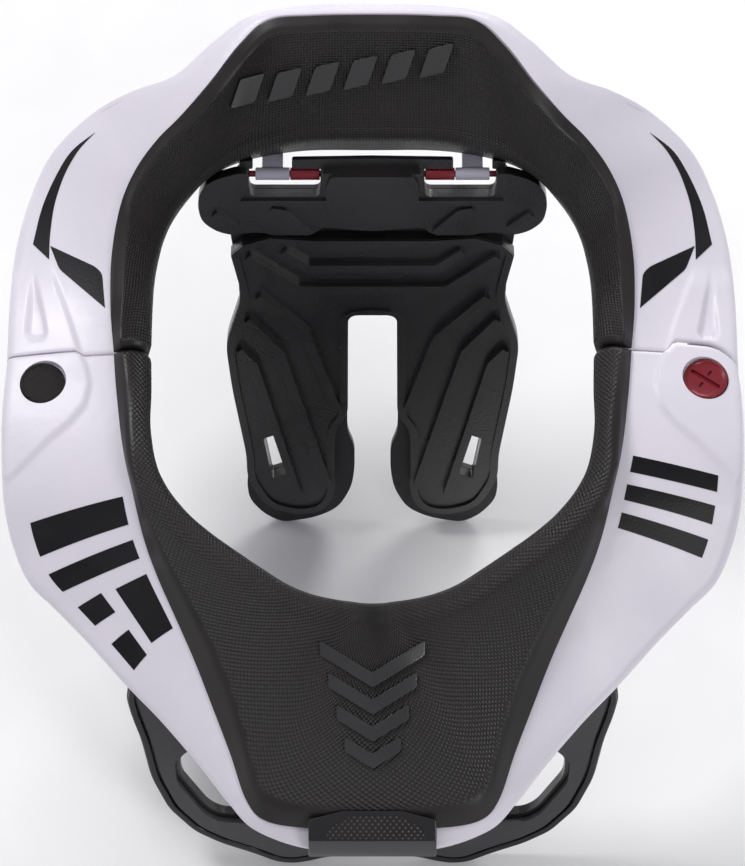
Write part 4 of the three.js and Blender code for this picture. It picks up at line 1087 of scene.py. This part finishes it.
# %% Back pad with a raised border
pad_top, border, sunk = 6.5, 3.4, 1.2
pad_outline = both_halves(on_strut(BACK_PAD_OUTLINE))
crisp = [k for k, (_, y) in enumerate(pad_outline) if y > -BACKPLATE_FOOT]
pad_bm = plate(pad_outline, slots, 0, pad_top - sunk, reach=7, edge=0.8, hole_reach=1, keep=crisp)
rim_bm = plate(inset_outline(pad_outline, 0.15), [inset_outline(pad_outline, border)], pad_top - 3, pad_top,
               reach=7, edge=1.1, hole_reach=6, keep=crisp, hole_keep=crisp)
merged(pad_bm, rim_bm)
for rib in RIBS:
    line = on_strut(rib)
    meets_middle = line[-1][0] == 0
    mirrored = [(-x, y) for x, y in line]
    for way in [line + mirrored[-2::-1]] if meets_middle else [line, mirrored]:
        merged(pad_bm, ribbed_bar(way, 3.6, pad_top - 2.5, pad_top + 1.9))
piece(seated(pad_bm, HINGE, STRUT_TILT), "back_pad_foam", "strut", smooth_foam, ["back_pad"],
      sharp=30, flat_faces=True)

# %% [markdown]
# ## The chest plate
# Under the front shell hangs a hard plate on two posts, with a foam pad behind it and two windows.
# A glossy bead runs round the pad, which is the part of the chest piece that shows best. All
# three come from one outline, moved inwards by a few millimetres for the plate and the bead.

# %% Chest pad, plate and posts
CHEST_OUTLINE = [(0, -12), (30, -20), (62, -26), (84, -22), (97, -10), (100, 0), (98, 12), (94.5, 26),
                 (91, 48), (84.5, 66), (74, 80), (63, 87.5), (50, 93.5), (40, 99), (33, 100),
                 (26, 98.5), (19, 96), (0, 95)]
CHEST_WINDOW = [(79, 37), (78.5, 48), (68, 66.5), (63, 70.5), (49, 72), (44, 64), (50, 46), (60, 34),
                (74, 31)]
POST_X, POST_BACK, POST_RADIUS = 52 * MM, 3 * MM, 6 * MM
chest_outline = both_halves(shared(CHEST_OUTLINE, CHEST_HALF_WIDTH, CHEST_LENGTH))
chest_window = shared(CHEST_WINDOW, CHEST_HALF_WIDTH, CHEST_LENGTH)
windows = [chest_window, [(-x, y) for x, y in chest_window]]
wide_windows = [inset_outline(w, -2) for w in windows]

foam_bm = plate(chest_outline, windows, -CHEST_DEPTH, -3.3, reach=4, edge=1.6, lower_edge=1.2)
piece(seated(foam_bm, CHEST, CHEST_TILT), "chest_foam", "front", smooth_foam, ["chest_pad"],
      sharp=30, flat_faces=True)

plate_bm = plate(inset_outline(chest_outline, 5), wide_windows, -3, 0, reach=4, edge=1.0, lower_edge=0.3)
seated(plate_bm, CHEST, CHEST_TILT)
post_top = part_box("chest_plate")[1].z - 3 * MM
for side in (-1, 1):
    merged(plate_bm, drum(side * POST_X, CHEST.y + POST_BACK, CHEST.z - 6 * MM, post_top, POST_RADIUS))
piece(plate_bm, "chest_hard_plate", "front", plate_satin, ["chest_plate"], sharp=30,
      flat_faces=True)

bead = plate(inset_outline(chest_outline, 0.5), [inset_outline(chest_outline, 3.6)], -4, -0.9, reach=4,
             edge=0.9)
piece(seated(bead, CHEST, CHEST_TILT), "chest_rim_bead", "front", black_gloss, sharp=30,
      flat_faces=True)

# %% [markdown]
# ## Floor and light
# The photograph is a plain studio shot on white, with one broad light from above and soft
# shadows, so the floor is pale and three large area lights do the rest.

# %% Pale floor
floor_bm = bmesh.new()
bmesh.ops.create_grid(floor_bm, x_segments=1, y_segments=1, size=4)
floor_mesh = bpy.data.meshes.new("floor")
floor_bm.to_mesh(floor_mesh)
floor_bm.free()
floor = bpy.data.objects.new("floor", floor_mesh)
bpy.context.scene.collection.objects.link(floor)
floor_paint = moulded("floor_paint", (0.93, 0.93, 0.93), (0.91, 0.91, 0.91), (0.7, 0.8), 40, 0.1 * MM)
floor.data.materials.append(floor_paint)
print("floor", [round(v) for v in floor.dimensions], "m")


# %% Lights and world
def area_light(name, place, size, power):
    light = bpy.data.objects.new(name, bpy.data.lights.new(name, "AREA"))
    light.data.shape, light.data.size, light.data.energy = "DISK", size, power
    light.location = place
    light.rotation_euler = (TARGET - Vector(place)).to_track_quat("-Z", "Y").to_euler()
    bpy.context.scene.collection.objects.link(light)


area_light("key", (-0.9, 0.6, 1.6), 0.6, 17)
area_light("fill", (1.1, -1.3, 1.1), 0.7, 9)
area_light("back", (0.5, 1.5, 0.9), 0.7, 11)
world = bpy.data.worlds.new("studio")
bpy.context.scene.world = world
world.use_nodes = True
world.node_tree.nodes["Background"].inputs["Color"].default_value = (0.95, 0.95, 1.0, 1)
world.node_tree.nodes["Background"].inputs["Strength"].default_value = 0.42
bpy.context.scene.view_settings.view_transform = "Standard"
print("lights:", sorted(light.name for light in bpy.data.lights))
